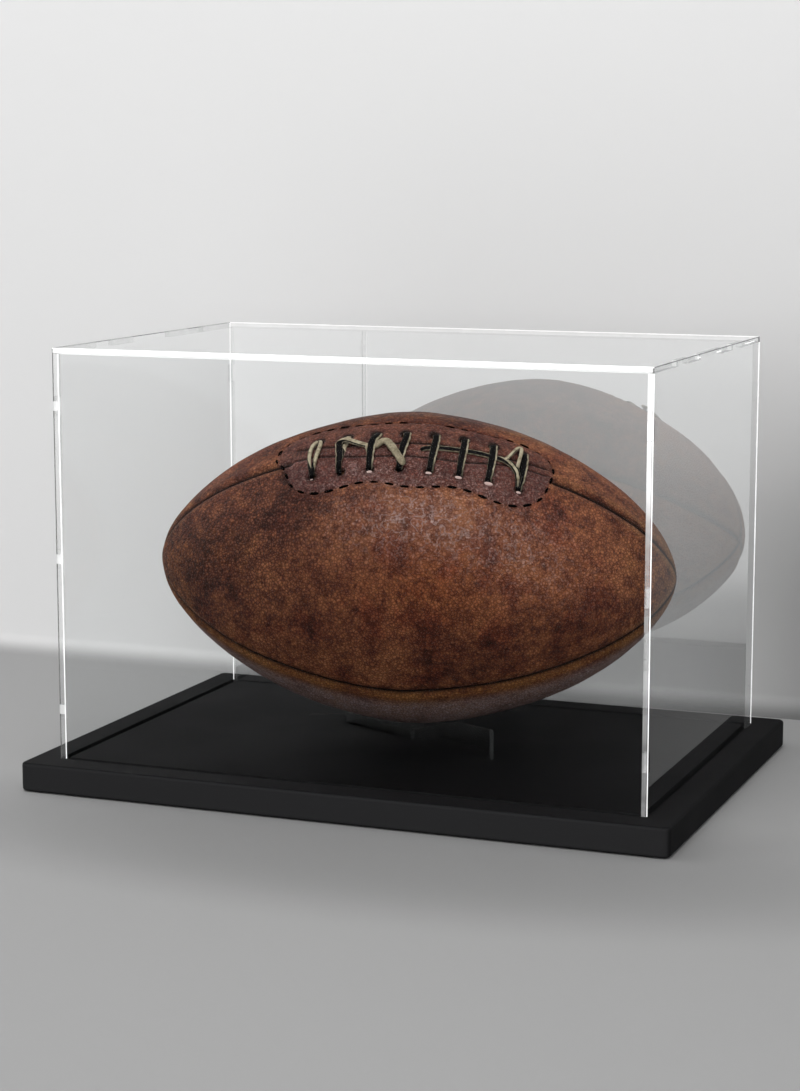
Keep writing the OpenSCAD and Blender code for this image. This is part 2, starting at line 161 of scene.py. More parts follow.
class Sheet:
    """The node sheet of one material, or of the world."""

    def __init__(self, name: str, world: bool = False) -> None:
        """Starts a sheet with nothing but an output.

        Args:
            name: Name of the material or the world.
            world: Whether it is the world.
        """
        self.owner = (bpy.data.worlds if world else bpy.data.materials).new(name)
        self.owner.use_nodes = True
        self.tree = self.owner.node_tree
        self.tree.nodes.clear()
        self.output = self.tree.nodes.new("ShaderNodeOutputWorld" if world else "ShaderNodeOutputMaterial")

    def node(self, kind: str, settings: dict[str, Any], inputs: dict[Any, Any], out: Any = 0) -> Wire:
        """Adds a node.

        Args:
            kind: The node's type.
            settings: Its settings, set first. "stops" fills a colour ramp.
            inputs: Values or wires for its sockets, by index or name.
            out: The index or name of the output to give.

        Returns:
            The chosen output.
        """
        node = self.tree.nodes.new(kind)
        for key, value in settings.items():
            if key == "stops":
                self._fill_ramp(node.color_ramp, value)
            else:
                setattr(node, key, value)
        for key, value in inputs.items():
            socket = node.inputs[key]
            if isinstance(value, Wire):
                self.tree.links.new(value.socket, socket)
            else:
                socket.default_value = value
        return Wire(self, node.outputs[out])

    @staticmethod
    def _fill_ramp(ramp: bpy.types.ColorRamp, stops: Sequence[tuple[float, Colour]]) -> None:
        """Sets the stops of a colour ramp."""
        while len(ramp.elements) < len(stops):
            ramp.elements.new(1.0)
        for element, (place, colour) in zip(ramp.elements, stops):
            element.position = place
            element.color = colour

    def place(self) -> Wire:
        """Gives the place on the object, in metres."""
        return self.node("ShaderNodeTexCoord", {}, {}, "Object")

    def axis(self, name: str, vector: Wire | None = None) -> Wire:
        """Gives one part of a vector, or of the place on the object."""
        return self.node("ShaderNodeSeparateXYZ", {}, {0: vector or self.place()}, name)

    def lane(self, name: str) -> Wire:
        """Gives a number kept on the mesh's points."""
        return self.node("ShaderNodeAttribute", {"attribute_name": name}, {}, "Fac")

    def behind(self) -> Wire:
        """Gives 1 where a face is seen from behind."""
        return self.node("ShaderNodeNewGeometry", {}, {}, "Backfacing")

    def noise(self, size: float, detail: float = 3.0, rough: float = 0.5, place: Wire | None = None) -> Wire:
        """Gives soft noise.

        Args:
            size: Size of its largest features in millimetres.
            detail: Number of finer layers.
            rough: Strength of the finer layers.
            place: Where it is read, or None for the place on the object.

        Returns:
            The noise, about 0.5 on average.
        """
        inputs = {"Vector": place or self.place(), "Scale": 1 / (size * MM), "Detail": detail, "Roughness": rough}
        return self.node("ShaderNodeTexNoise", {"noise_dimensions": "3D"}, inputs, 0)

    def cells(self, size: float, feature: str, place: Wire, out: str = "Distance") -> Wire:
        """Gives a pattern of cells.

        Args:
            size: Size of a cell in millimetres.
            feature: What is measured, such as DISTANCE_TO_EDGE.
            place: Where it is read.
            out: Name of the output to give.

        Returns:
            The chosen output of the cells.
        """
        settings = {"voronoi_dimensions": "3D", "feature": feature}
        return self.node("ShaderNodeTexVoronoi", settings, {"Vector": place, "Scale": 1 / (size * MM)}, out)

    def blend(self, share: Any, first: Any, second: Any, how: str = "MIX") -> Wire:
        """Mixes two colours.

        Args:
            share: Share of the second colour.
            first: First colour.
            second: Second colour.
            how: Way of mixing.

        Returns:
            The mixed colour.
        """
        settings = {"data_type": "RGBA", "blend_type": how, "clamp_factor": True}
        return self.node("ShaderNodeMix", settings, {0: share, 6: first, 7: second}, 2)

    def jitter(self, size: float, reach: float) -> Wire:
        """Gives the place on the object, pushed about so that patterns lose their regular look.

        Args:
            size: Size of the pushes' features in millimetres.
            reach: How far it is pushed, in millimetres.

        Returns:
            The pushed place.
        """
        inputs = {"Vector": self.place(), "Scale": 1 / (size * MM)}
        noise = self.node("ShaderNodeTexNoise", {"noise_dimensions": "3D"}, inputs, 1)
        centred = self.node("ShaderNodeVectorMath", {"operation": "SUBTRACT"}, {0: noise, 1: (0.5, 0.5, 0.5)})
        push = self.node("ShaderNodeVectorMath", {"operation": "SCALE"}, {0: centred, "Scale": 2 * reach * MM})
        return self.node("ShaderNodeVectorMath", {"operation": "ADD"}, {0: self.place(), 1: push})

    def bump(self, height: Wire, strength: float, depth: float) -> Wire:
        """Gives a normal bent by a height.

        Args:
            height: Height from 0 to 1.
            strength: Strength of the effect.
            depth: Depth of a height of 1, in millimetres.

        Returns:
            The bent normal.
        """
        return self.node("ShaderNodeBump", {}, {"Strength": strength, "Distance": depth * MM, "Height": height})

    def principled(self, **inputs: Any) -> Wire:
        """Adds the main shader.

        Args:
            **inputs: Its inputs, with spaces in their names written as underscores.

        Returns:
            The shader.
        """
        named = {key.replace("_", " "): value for key, value in inputs.items()}
        return self.node("ShaderNodeBsdfPrincipled", {}, named)

    def clear(self, colour: Colour) -> Wire:
        """Gives a surface that lets light straight through."""
        return self.node("ShaderNodeBsdfTransparent", {}, {"Color": colour})

    def mix(self, share: Any, first: Wire, second: Wire) -> Wire:
        """Mixes two surfaces by the share of the second."""
        return self.node("ShaderNodeMixShader", {}, {0: share, 1: first, 2: second})

    def finish(self, surface: Wire) -> bpy.types.Material | bpy.types.World:
        """Connects the surface and gives the material or the world."""
        self.tree.links.new(surface.socket, self.output.inputs["Surface"])
        return self.owner

    def paint(self, **inputs: Any) -> bpy.types.Material:
        """Finishes a material that has nothing but the main shader, with its inputs."""
        return self.finish(self.principled(**inputs))


# ---------------------------------------------------------------- finishes


@dataclass(frozen=True)
class BoardLacquer:
    """Matt black lacquer sprayed on a fibre board, with painted light on its upright faces."""

    colour: Colour = srgb(16, 16, 17)
    worn_colour: Colour = srgb(22, 22, 23)
    lit_side_colour: Colour = srgb(42, 42, 43)
    shaded_end_colour: Colour = srgb(24, 24, 25)
    roughness: float = 0.6

    def make(self) -> bpy.types.Material:
        """Builds the material.

        Returns:
            The material.
        """
        sheet = Sheet("board_lacquer")
        cloud = sheet.noise(60, 3, 0.5).step(0.35, 0.7)
        grain = sheet.noise(0.7, 2, 0.6)
        colour = sheet.blend(cloud * 0.35, self.colour, self.worn_colour)
        # Painted light: the upright faces are painted lighter than the top, the front and back more than the ends, for
        # how the lamps fall on them.
        normal = sheet.node("ShaderNodeNewGeometry", {}, {}, "Normal")
        facing_up, facing_end = sheet.axis("Z", normal), sheet.axis("X", normal)
        side = sheet.blend((facing_end * facing_end).step(0.3, 0.8), self.lit_side_colour, self.shaded_end_colour)
        colour = sheet.blend((1 - facing_up.step(0.2, 0.98)) * (0.85 + grain * 0.15), colour, side)
        rough = self.roughness + cloud * 0.06 + grain * 0.06
        peel = sheet.bump(sheet.noise(2.2, 2, 0.5) * 0.6 + grain * 0.4, 0.22, 0.12)
        return sheet.paint(Base_Color=colour, Roughness=rough, Specular_IOR_Level=0.04, Normal=peel)


@dataclass(frozen=True)
class PadRubber:
    """Soft black rubber of the foot pads."""

    colour: Colour = srgb(26, 26, 27)
    grey_haze: Colour = srgb(46, 45, 44)
    roughness: float = 0.8

    def make(self) -> bpy.types.Material:
        """Builds the material.

        Returns:
            The material.
        """
        sheet = Sheet("pad_rubber")
        # The grey haze on the pads is dust.
        greying = sheet.noise(1.5, 3, 0.6)
        colour = sheet.blend(greying * 0.3, self.colour, self.grey_haze)
        rough = self.roughness - greying * 0.1
        return sheet.paint(Base_Color=colour, Roughness=rough, Normal=sheet.bump(greying, 0.3, 0.1))


class Sheen(Enum):
    """How strongly a face of clear sheet mirrors the room."""

    FAINT = 0.0015
    STAND = 0.012
    SIDE = 0.026
    BACK = 0.36


@dataclass(frozen=True)
class ClearFace:
    """Broad polished face of a clear acrylic sheet."""

    name: str
    sheen: Sheen
    one_sided: bool = False
    grazing: float = 0.75
    index: float = 1.49
    head_on: float = 0.045
    tint: Colour = (0.993, 0.996, 0.996, 1.0)

    def make(self) -> bpy.types.Material:
        """Builds the material.

        Returns:
            The material.
        """
        sheet = Sheet(self.name)
        fresnel = sheet.node("ShaderNodeFresnel", {}, {"IOR": self.index})
        mirror = (fresnel - self.head_on).clamp() * self.grazing + self.sheen.value
        if self.one_sided:
            mirror = mirror * (1 - sheet.behind())
        gloss = sheet.node("ShaderNodeBsdfGlossy", {}, {"Color": even(1.0), "Roughness": 0.015})
        return sheet.finish(sheet.mix(mirror, sheet.clear(self.tint), gloss))


@dataclass(frozen=True)
class CutEdge:
    """Cut edge of a clear sheet, painted as a glowing line that stands in for the light that the sheet carries.

    The painted glow covers a share of the edge: foot low down, body in the middle and crest high up. It ends below the
    lowest height and beyond the widest place, both in metres.
    """

    name: str = "cut_edge"
    colour: Colour = even(0.93)
    glow: float = 0.5
    crest: float = 0.82
    body: float = 0.3
    foot: float = 0.22
    behind: float = 0.8
    lowest: float = -1.0
    widest: float = 1.0
    soft: float = 0.0002
    low_band: tuple[float, float] = (0.045, 0.085)
    high_band: tuple[float, float] = (0.14, 0.185)
    streaks: float = 0.08

    def make(self) -> bpy.types.Material:
        """Builds the material.

        Returns:
            The material.
        """
        sheet = Sheet(self.name)
        height, width = sheet.axis("Z"), sheet.axis("X")
        streak = sheet.noise(9, 2, 0.5).step(0.3, 0.75)
        cover = self.foot + height.step(*self.low_band) * (self.body - self.foot) - streak * self.streaks
        cover = cover + height.step(*self.high_band) * (self.crest - self.body)
        cover = cover * (1 - sheet.behind() * (1 - self.behind))
        cover = cover * height.step(self.lowest - self.soft, self.lowest + self.soft)
        cover = cover * (1 - width.step(self.widest - self.soft, self.widest + self.soft))
        glow = sheet.principled(
            Base_Color=self.colour,
            Roughness=0.3 + streak * 0.1,
            Specular_IOR_Level=0.3,
            Emission_Color=self.colour,
            Emission_Strength=self.glow,
        )
        return sheet.finish(sheet.mix(cover, sheet.clear((0.98, 0.985, 0.985, 1.0)), glow))


@dataclass(frozen=True)
class OldLeather:
    """Pebbled, dyed leather of an old ball, with rubbed places and painted light.

    Painted shade darkens its creases, seams, slit and holes, and a painted highlight, painted highlight dots and a
    painted grey reflection lighten it. It reads the numbers that each panel keeps on its points: its tone, which is
    partly painted light, its wear, its painted shade, its facing, its painted grey reflection, its painted highlight,
    its olive and its beads.
    """

    darkest: Colour = srgb(52, 25, 19)
    deep: Colour = srgb(96, 53, 39)
    body: Colour = srgb(132, 77, 52)
    bright: Colour = srgb(170, 108, 72)
    rubbed: Colour = srgb(164, 116, 76)
    # Colour of the painted highlight dots on the tops of pebbles.
    dot: Colour = srgb(190, 142, 112)
    plum_tint: Colour = (0.88, 0.66, 0.67, 1.0)
    olive_tint: Colour = (0.84, 0.95, 0.66, 1.0)
    rust_tint: Colour = (1.0, 0.84, 0.68, 1.0)
    # Colour of the painted highlight.
    sheen: Colour = srgb(186, 158, 152)
    # Colour of the painted grey reflection of the pale room.
    haze: Colour = srgb(184, 164, 164)
    # Colour of the painted shade in creases, seams, slit and holes.
    grime: Colour = srgb(24, 12, 8)
    facing: Colour = srgb(124, 70, 62)
    facing_deep: Colour = srgb(50, 22, 22)
    pebble: float = 1.6

    def make(self) -> bpy.types.Material:
        """Builds the material.

        Returns:
            The material.
        """
        sheet = Sheet("ball_leather")
        tone, worn, grime, facing, haze, bloom, olive, beads = (
            sheet.lane(lane) for lane in ("tone", "worn", "grime", "facing", "haze", "bloom", "olive", "beads")
        )
        clouds = sheet.noise(42, 4, 0.6)
        drift = sheet.noise(23, 4, 0.62, sheet.jitter(40, 9))
        mottle = sheet.noise(8.0, 5, 0.72)
        fleck = sheet.noise(2.2, 3, 0.75)
        pushed = sheet.jitter(3.0, 0.4)
        crack = sheet.cells(self.pebble, "DISTANCE_TO_EDGE", pushed)
        each = sheet.cells(self.pebble, "F1", pushed, "Color") * 1.0
        hill = crack.step(0.0, 0.26)
        dot = crack.step(0.16, 0.42)
        shade = clouds * 0.8 + drift * 0.75 + mottle * 1.6 + fleck * 0.85 + (each - 0.5) * 0.3 + tone - 1.44
        stops = [(0.08, self.darkest), (0.36, self.deep), (0.62, self.body), (0.92, self.bright)]
        colour = sheet.node("ShaderNodeValToRGB", {"stops": stops}, {0: shade.clamp()})
        plum = (1 - drift.step(0.36, 0.54)) * (0.5 + mottle * 0.8)
        colour = sheet.blend(plum.clamp() * (1 - olive.clamp() * 0.7) * 0.85, colour, self.plum_tint, "MULTIPLY")
        colour = sheet.blend((0 - olive).clamp(), colour, self.rust_tint, "MULTIPLY")
        green = (olive + (clouds - 0.5) * 1.6 + (mottle - 0.5) * 0.8).step(0.2, 1.0)
        colour = sheet.blend(green * 0.8, colour, self.olive_tint, "MULTIPLY")
        beaded = (beads + (clouds - 0.5) * 1.2).clamp()
        folds = sheet.noise(11, 3, 0.6, sheet.jitter(6, 2)) * 46
        curls = sheet.node("ShaderNodeMath", {"operation": "SINE"}, {0: folds}).step(0.45, 1.0)
        spots = (mottle * 0.7 + fleck * 0.5 + worn * 0.7 - 0.6).step(0.2, 0.62)
        colour = sheet.blend(spots * (0.1 + worn * 0.6), colour, self.rubbed)
        stain = (mottle * 0.9 + drift * 0.6 + (each - 0.5) * 0.3 - 0.25).clamp()
        stained = sheet.blend(stain, self.facing_deep, self.facing)
        colour = sheet.blend(facing * 0.85, colour, stained)
        # Painted highlight on the facing: pale flecks and squiggly lines.
        colour = sheet.blend(facing * ((fleck - 0.5).clamp() * 1.5 + curls * 0.16), colour, self.sheen)
        # Painted highlight dots on the pebbles' tops, where the beads and worn numbers ask for them, off the facing.
        shine = dot * (each * 0.5 + 0.35) * (0.1 * worn + 0.26 * beaded) * (1 - facing)
        colour = sheet.blend(shine, colour, self.dot)
        # Painted highlight: a pale sheen in squiggly lines and flecks where the panel's numbers put it.
        colour = sheet.blend((bloom * (dot * 0.25 + curls * 0.62 + fleck * 0.8 - 0.3)).clamp(), colour, self.sheen)
        # Painted reflection: a pale grey haze where the panel's numbers put it.
        colour = sheet.blend((haze * (0.1 + mottle + (each - 0.5) * 0.5)).clamp(), colour, self.haze)
        # Painted shade in the creases between pebbles, deeper where the beads number asks and lighter under the painted
        # highlight.
        colour = sheet.blend((1 - hill) * (0.5 + 0.2 * beaded - 0.3 * bloom), colour, self.grime)
        # Painted shade in the seams, slit, holes and grooves, as the panel's numbers give it.
        colour = sheet.blend((grime * (0.7 + mottle * 0.6)).clamp(), colour, self.grime)
        rough = 0.54 - facing * 0.1 - bloom * 0.12 + fleck * 0.16 + (1 - hill) * 0.2
        pore = sheet.cells(0.75, "F1", sheet.jitter(1.4, 0.2)).step(0.0, 0.55)
        height = sheet.bump(hill * 0.75 + pore * 0.1 + sheet.noise(5, 4, 0.6) * 0.5, 1.0, 0.7)
        return sheet.paint(Base_Color=colour, Roughness=rough.clamp(), Specular_IOR_Level=0.21, Normal=height)


@dataclass(frozen=True)
class ThongLeather:
    """Flat lace thong, dark on its face and pale where its cut edges and its flesh side show."""

    dark: Colour = srgb(9, 8, 8)
    pale: Colour = srgb(172, 162, 138)
    stained: Colour = srgb(92, 78, 58)
    edge: float = 0.84

    def make(self) -> bpy.types.Material:
        """Builds the material.

        Returns:
            The material.
        """
        sheet = Sheet("thong_leather")
        across, low, high, fresh = (sheet.lane(lane) for lane in ("across", "low", "high", "fresh"))
        rub = sheet.noise(1.8, 4, 0.7)
        ragged = (rub - 0.5) * 0.5
        stripe = (across + ragged - low).step(-0.12, 0.12) * (high - across + ragged).step(-0.1, 0.1)
        sides = (across * across + ragged).step(self.edge * self.edge, 1.0) * 0.75
        # Paleness carries painted shade where the strand dives into a hole.
        bare = ((stripe + sides).clamp() * fresh * (0.75 + rub * 0.4)).clamp()
        light = sheet.blend(sheet.noise(3.5, 4, 0.7).step(0.42, 0.68) * 0.75, self.pale, self.stained)
        colour = sheet.blend(bare, self.dark, light)
        height = sheet.bump(sheet.noise(0.8, 3, 0.65) * 0.6 + sheet.noise(3, 2, 0.5) * 0.4, 0.5, 0.3)
        return sheet.paint(Base_Color=colour, Roughness=0.55 + bare * 0.25, Specular_IOR_Level=0.05, Normal=height)


@dataclass(frozen=True)
class PlainLeather:
    """Undyed or split leather with a fibrous surface."""

    name: str
    light: Colour
    dark: Colour
    fibre: float = 0.9
    roughness: float = 0.78
    gloss: float = 0.3
    contrast: float = 1.0

    def make(self) -> bpy.types.Material:
        """Builds the material.

        Returns:
            The material.
        """
        sheet = Sheet(self.name)
        fuzz = sheet.noise(self.fibre, 4, 0.7)
        cloud = sheet.noise(6, 3, 0.6)
        share = (fuzz * 0.6 + cloud * 0.8 - 0.7) * self.contrast + 0.5
        colour = sheet.blend(share.clamp(), self.dark, self.light)
        rough, bent = self.roughness + fuzz * 0.1, sheet.bump(fuzz, 0.6, 0.35)
        return sheet.paint(Base_Color=colour, Roughness=rough, Specular_IOR_Level=self.gloss, Normal=bent)


@dataclass(frozen=True)
class WovenLining:
    """Coarse woven cloth that lines the leather."""

    light: Colour = srgb(198, 184, 150)
    dark: Colour = srgb(140, 124, 94)
    threads: float = 320.0

    def make(self) -> bpy.types.Material:
        """Builds the material.

        Returns:
            The material.
        """
        sheet = Sheet("woven_lining")
        inputs = {"Vector": sheet.place(), "Scale": self.threads}
        across, along = (
            sheet.node("ShaderNodeTexWave", {"bands_direction": way}, inputs, "Fac") for way in ("X", "Z")
        )
        weave = across * along
        colour = sheet.blend(weave, self.dark, self.light)
        return sheet.paint(Base_Color=colour, Roughness=0.85, Normal=sheet.bump(weave, 0.5, 0.3))


@dataclass(frozen=True)
class BladderRubber:
    """Dull red rubber of the bladder."""

    colour: Colour = srgb(138, 62, 48)
    dark: Colour = srgb(104, 44, 36)

    def make(self) -> bpy.types.Material:
        """Builds the material.

        Returns:
            The material.
        """
        sheet = Sheet("bladder_rubber")
        cloud = sheet.noise(12, 4, 0.6)
        colour = sheet.blend(cloud.step(0.4, 0.7) * 0.5, self.colour, self.dark)
        return sheet.paint(Base_Color=colour, Roughness=0.5 + cloud * 0.2, Normal=sheet.bump(cloud, 0.2, 0.3))


@dataclass(frozen=True)
class StudioPaint:
    """Plain pale paint of the floor and the backdrop, with painted shade on the backdrop towards the right and low
    down, and a painted shadow on the floor under the front of the case and before it.

    Well before the case, between and past the near limits, gloss sees it as even white, as in a bright room.
    """

    name: str
    colour: Colour
    one_sided: bool = False
    foot_colour: Colour = srgb(146, 146, 146)
    mirrored: float = 0.98
    near: tuple[float, float] = (-0.55, -0.3)
    foot_height: float = 0.012
    dusk: float = 0.0
    dusk_across: tuple[float, float] = (0.06, 0.2)
    dusk_up: tuple[float, float] = (0.06, 0.27)
    veil: float = 0.2
    veil_across: tuple[float, float] = (-0.25, -0.02)
    veil_up: tuple[float, float] = (0.15, 0.45)
    contact: float = 0.0
    contact_right: float = 0.04
    contact_front: float = 0.15
    contact_width: float = 0.24
    contact_depth: float = 0.1
    contact_fade: float = 1.6

    def make(self) -> bpy.types.Material:
        """Builds the material.

        Returns:
            The material.
        """
        sheet = Sheet(self.name)
        width, depth, height = (sheet.axis(name) for name in "XYZ")
        colour = sheet.blend(height.step(0.0, self.foot_height), self.foot_colour, self.colour)
        # Painted shade on the backdrop: darker towards the right and low down, and a weaker, broader shade low down
        # from left of the middle.
        dusk = width.step(*self.dusk_across) * (1 - height.step(*self.dusk_up)) * self.dusk
        dusk = dusk + width.step(*self.veil_across) * (1 - height.step(*self.veil_up)) * (self.dusk * self.veil)
        # Painted shadow: a soft dark oval on the floor under the front of the case and before it.
        near_x = (width - self.contact_right) / self.contact_width
        near_y = (depth + self.contact_front) / self.contact_depth
        contact = (1 - (near_x * near_x + near_y * near_y).step(0.0, self.contact_fade)) * self.contact
        colour = sheet.blend((dusk + contact).clamp(), colour, even(0.0))
        paint = sheet.principled(Base_Color=colour, Roughness=0.85, Specular_IOR_Level=0.2)
        rays = sheet.node("ShaderNodeLightPath", {}, {}, "Is Glossy Ray")
        pale = sheet.node("ShaderNodeEmission", {}, {"Color": even(1.0), "Strength": self.mirrored})
        surface = sheet.mix(rays * (1 - depth.step(*self.near)), paint, pale)
        if self.one_sided:
            surface = sheet.mix(sheet.behind(), surface, sheet.clear(even(1.0)))
        return sheet.finish(surface)


# ---------------------------------------------------------------- mesh helpers


def link(name: str, data: bpy.types.ID) -> bpy.types.Object:
    """Puts a mesh, lamp or camera into the scene as an object.

    Args:
        name: Name of the object.
        data: The mesh, lamp or camera.

    Returns:
        The object.
    """
    thing = bpy.data.objects.new(name, data)
    bpy.context.scene.collection.objects.link(thing)
    return thing


def new_piece(name: str, points: np.ndarray, faces: Sequence[Sequence[int]], smooth: bool = True) -> bpy.types.Object:
    """Makes a mesh object at the origin.

    Args:
        name: Name of the piece.
        points: Its points in metres.
        faces: Its faces as point numbers.
        smooth: Whether its faces are shaded smooth.

    Returns:
        The new object.
    """
    mesh = bpy.data.meshes.new(name)
    mesh.from_pydata([tuple(map(float, p)) for p in points], [], [tuple(map(int, f)) for f in faces])
    mesh.polygons.foreach_set("use_smooth", [smooth] * len(mesh.polygons))
    mesh.update()
    return link(name, mesh)


def new_carrier(
    name: str, points: np.ndarray, lay: np.ndarray, along: np.ndarray, edges: Sequence[tuple[int, int]] = ()
) -> bpy.types.Object:
    """Makes the points that a tree repeats a piece on.

    Args:
        name: Name of the carrier.
        points: The points in metres.
        lay: For each point, the direction up from the surface.
        along: For each point, the direction along which the piece lies.
        edges: Pairs of points that are joined into a line.

    Returns:
        The carrier.
    """
    mesh = bpy.data.meshes.new(name)
    mesh.from_pydata([tuple(map(float, point)) for point in points], list(edges), [])
    for lane, vectors in (("lay", lay), ("along", along)):
        vectors = vectors / np.linalg.norm(vectors, axis=1)[:, None]
        attribute = mesh.attributes.new(lane, "FLOAT_VECTOR", "POINT")
        attribute.data.foreach_set("vector", vectors.astype(np.float32).ravel())
    return link(name, mesh)


def add_lane(piece: bpy.types.Object, name: str, values: np.ndarray) -> None:
    """Keeps one number for each point of a mesh."""
    lane = piece.data.attributes.new(name, "FLOAT", "POINT")
    lane.data.foreach_set("value", np.asarray(values, np.float32).ravel())


def dress(piece: bpy.types.Object, *materials: bpy.types.Material) -> None:
    """Gives the piece its materials, of which the first is on every face that isn't told otherwise."""
    piece.data.materials.clear()
    for material in materials:
        piece.data.materials.append(material)


def spaced(values: np.ndarray, reach: np.ndarray, step: np.ndarray) -> np.ndarray:
    """Picks values so that the distance from one to the next follows a step.

    Args:
        values: Closely spaced values.
        reach: The distance at which each of them lies.
        step: The step wanted at each of them.

    Returns:
        The picked values.
    """
    share = np.concatenate([[0], np.cumsum(np.diff(reach) / step[1:])])
    return np.interp(np.linspace(0, share[-1], int(share[-1]) + 1), share, values)


def curve_through(controls: np.ndarray, step: float, parts: int = 24) -> np.ndarray:
    """Draws an even smooth line through control points.

    Args:
        controls: The control points, one a row.
        step: Distance from one point of the line to the next.
        parts: Number of parts between two control points from which the line is measured.

    Returns:
        The points of the line.
    """
    ends = np.vstack([2 * controls[0] - controls[1], controls, 2 * controls[-1] - controls[-2]])
    rows = []
    for start in range(len(controls) - 1):
        a, b, c, d = ends[start : start + 4]
        for t in np.linspace(0, 1, parts, endpoint=False):
            bend = 2 * b + (c - a) * t + (2 * a - 5 * b + 4 * c - d) * t * t
            rows.append(0.5 * (bend + (3 * b - a - 3 * c + d) * t**3))
    rows.append(controls[-1])
    line = np.array(rows)
    reach = np.concatenate([[0], np.cumsum(np.linalg.norm(np.diff(line[:, :3], axis=0), axis=1))])
    count = max(4, int(round(reach[-1] / step)) + 1)
    marks = np.linspace(0, reach[-1], count)
    return np.column_stack([np.interp(marks, reach, line[:, k]) for k in range(line.shape[1])])


# ---------------------------------------------------------------- geometry node trees


class Repeater:
    """A Geometry Nodes tree built in the script, with named inputs, that repeats one small piece."""

    def __init__(self, name: str, sizes: Sequence[str] = EXTENT) -> None:
        """Starts a tree that takes and gives geometry.

        Args:
            name: Name of the tree.
            sizes: Names of the lengths that it takes, beside its seed and its material.
        """
        self.tree = bpy.data.node_groups.new(name, "GeometryNodeTree")
        self.keys: dict[str, str] = {}
        self.tree.interface.new_socket("Geometry", in_out="INPUT", socket_type="NodeSocketGeometry")
        self.tree.interface.new_socket("Geometry", in_out="OUTPUT", socket_type="NodeSocketGeometry")
        self.start = self.tree.nodes.new("NodeGroupInput")
        self.end = self.tree.nodes.new("NodeGroupOutput")
        kinds = {size: "NodeSocketFloat" for size in sizes}
        kinds |= {"Seed": "NodeSocketInt", "Material": "NodeSocketMaterial"}
        for key, kind in kinds.items():
            self.keys[key] = self.tree.interface.new_socket(key, in_out="INPUT", socket_type=kind).identifier

    def given(self, name: str) -> bpy.types.NodeSocket:
        """Gives the socket of a named input."""
        return self.start.outputs[name]

    def add(self, kind: str, settings: dict[str, Any], inputs: dict[Any, Any], out: Any = 0) -> bpy.types.NodeSocket:
        """Adds a node.

        Args:
            kind: The node's type.
            settings: Its settings.
            inputs: Values or sockets for its inputs, by index or name.
            out: The index or name of the output to give.

        Returns:
            The chosen output.
        """
        node = self.tree.nodes.new(kind)
        for key, value in settings.items():
            setattr(node, key, value)
        for key, value in inputs.items():
            if isinstance(value, bpy.types.NodeSocket):
                self.tree.links.new(value, node.inputs[key])
            else:
                node.inputs[key].default_value = value
        return node.outputs[out]

    def kept(self, name: str, kind: str = "FLOAT_VECTOR") -> bpy.types.NodeSocket:
        """Gives what the carrier keeps on its points under a name."""
        return self.add("GeometryNodeInputNamedAttribute", {"data_type": kind}, {"Name": name})

    def extent(self) -> bpy.types.NodeSocket:
        """Gives the named length, width and height as one vector."""
        return self.add("ShaderNodeCombineXYZ", {}, {k: self.given(name) for k, name in enumerate(EXTENT)})

    def bead(self, segments: int, rings: int) -> bpy.types.NodeSocket:
        """Gives a smooth bead of the named length, width and height.

        Args:
            segments: Number of its faces round it.
            rings: Number of its faces from end to end.

        Returns:
            The bead.
        """
        ball = self.add("GeometryNodeMeshUVSphere", {}, {"Segments": segments, "Rings": rings, "Radius": 0.5})
        bead = self.add("GeometryNodeTransform", {}, {"Geometry": ball, "Scale": self.extent()})
        return self.add("GeometryNodeSetShadeSmooth", {}, {0: bead})

    def lay_along(
        self,
        points: bpy.types.NodeSocket,
        piece: bpy.types.NodeSocket,
        along: bpy.types.NodeSocket,
        vary: float,
        share: Any = 1.0,
    ) -> None:
        """Sets a piece on points, turned along a direction and up the surface, and gives it out as plain mesh.

        Args:
            points: The points.
            piece: The piece that is repeated.
            along: The socket of its direction.
            vary: How much its size may vary, as a share.
            share: Size of each piece as a share of its full size, which differs from point to point for the rims.
        """
        axes = {"primary_axis": "X", "secondary_axis": "Z"}
        turn = self.add("FunctionNodeAxesToRotation", axes, {0: along, 1: self.kept("lay")})
        limits = {2: 1 - vary, 3: 1 + vary, "Seed": self.given("Seed")}
        drawn = self.add("FunctionNodeRandomValue", {"data_type": "FLOAT"}, limits, 1)
        size = self.add("ShaderNodeMath", {"operation": "MULTIPLY"}, {0: drawn, 1: share})
        inputs = {"Points": points, "Instance": piece, "Rotation": turn, "Scale": size}
        real = self.add("GeometryNodeRealizeInstances", {}, {0: self.add("GeometryNodeInstanceOnPoints", {}, inputs)})
        painted = self.add("GeometryNodeSetMaterial", {}, {0: real, "Material": self.given("Material")})
        self.tree.links.new(painted, self.end.inputs[0])

    def run(
        self,
        name: str,
        carrier: bpy.types.Object,
        sizes: Sequence[float],
        seed: int,
        material: bpy.types.Material,
    ) -> bpy.types.Object:
        """Runs the tree on a carrier and gives its result as a plain mesh piece.

        Args:
            name: Name of the new piece.
            carrier: The object whose points are used, which is removed.
            sizes: The tree's lengths in millimetres, in its own order.
            seed: Seed of its draws.
            material: Material of the piece.

        Returns:
            The new piece.
        """
        modifier = carrier.modifiers.new(name, "NODES")
        modifier.node_group = self.tree
        for key, value in zip(self.keys.values(), (*(size * MM for size in sizes), seed, material)):
            modifier[key] = value
        ready = carrier.evaluated_get(bpy.context.evaluated_depsgraph_get())
        mesh = bpy.data.meshes.new_from_object(ready)
        mesh.name = name
        carrier.modifiers.remove(modifier)
        piece = link(name, mesh)
        dress(piece, material)
        bpy.data.objects.remove(carrier)
        return piece


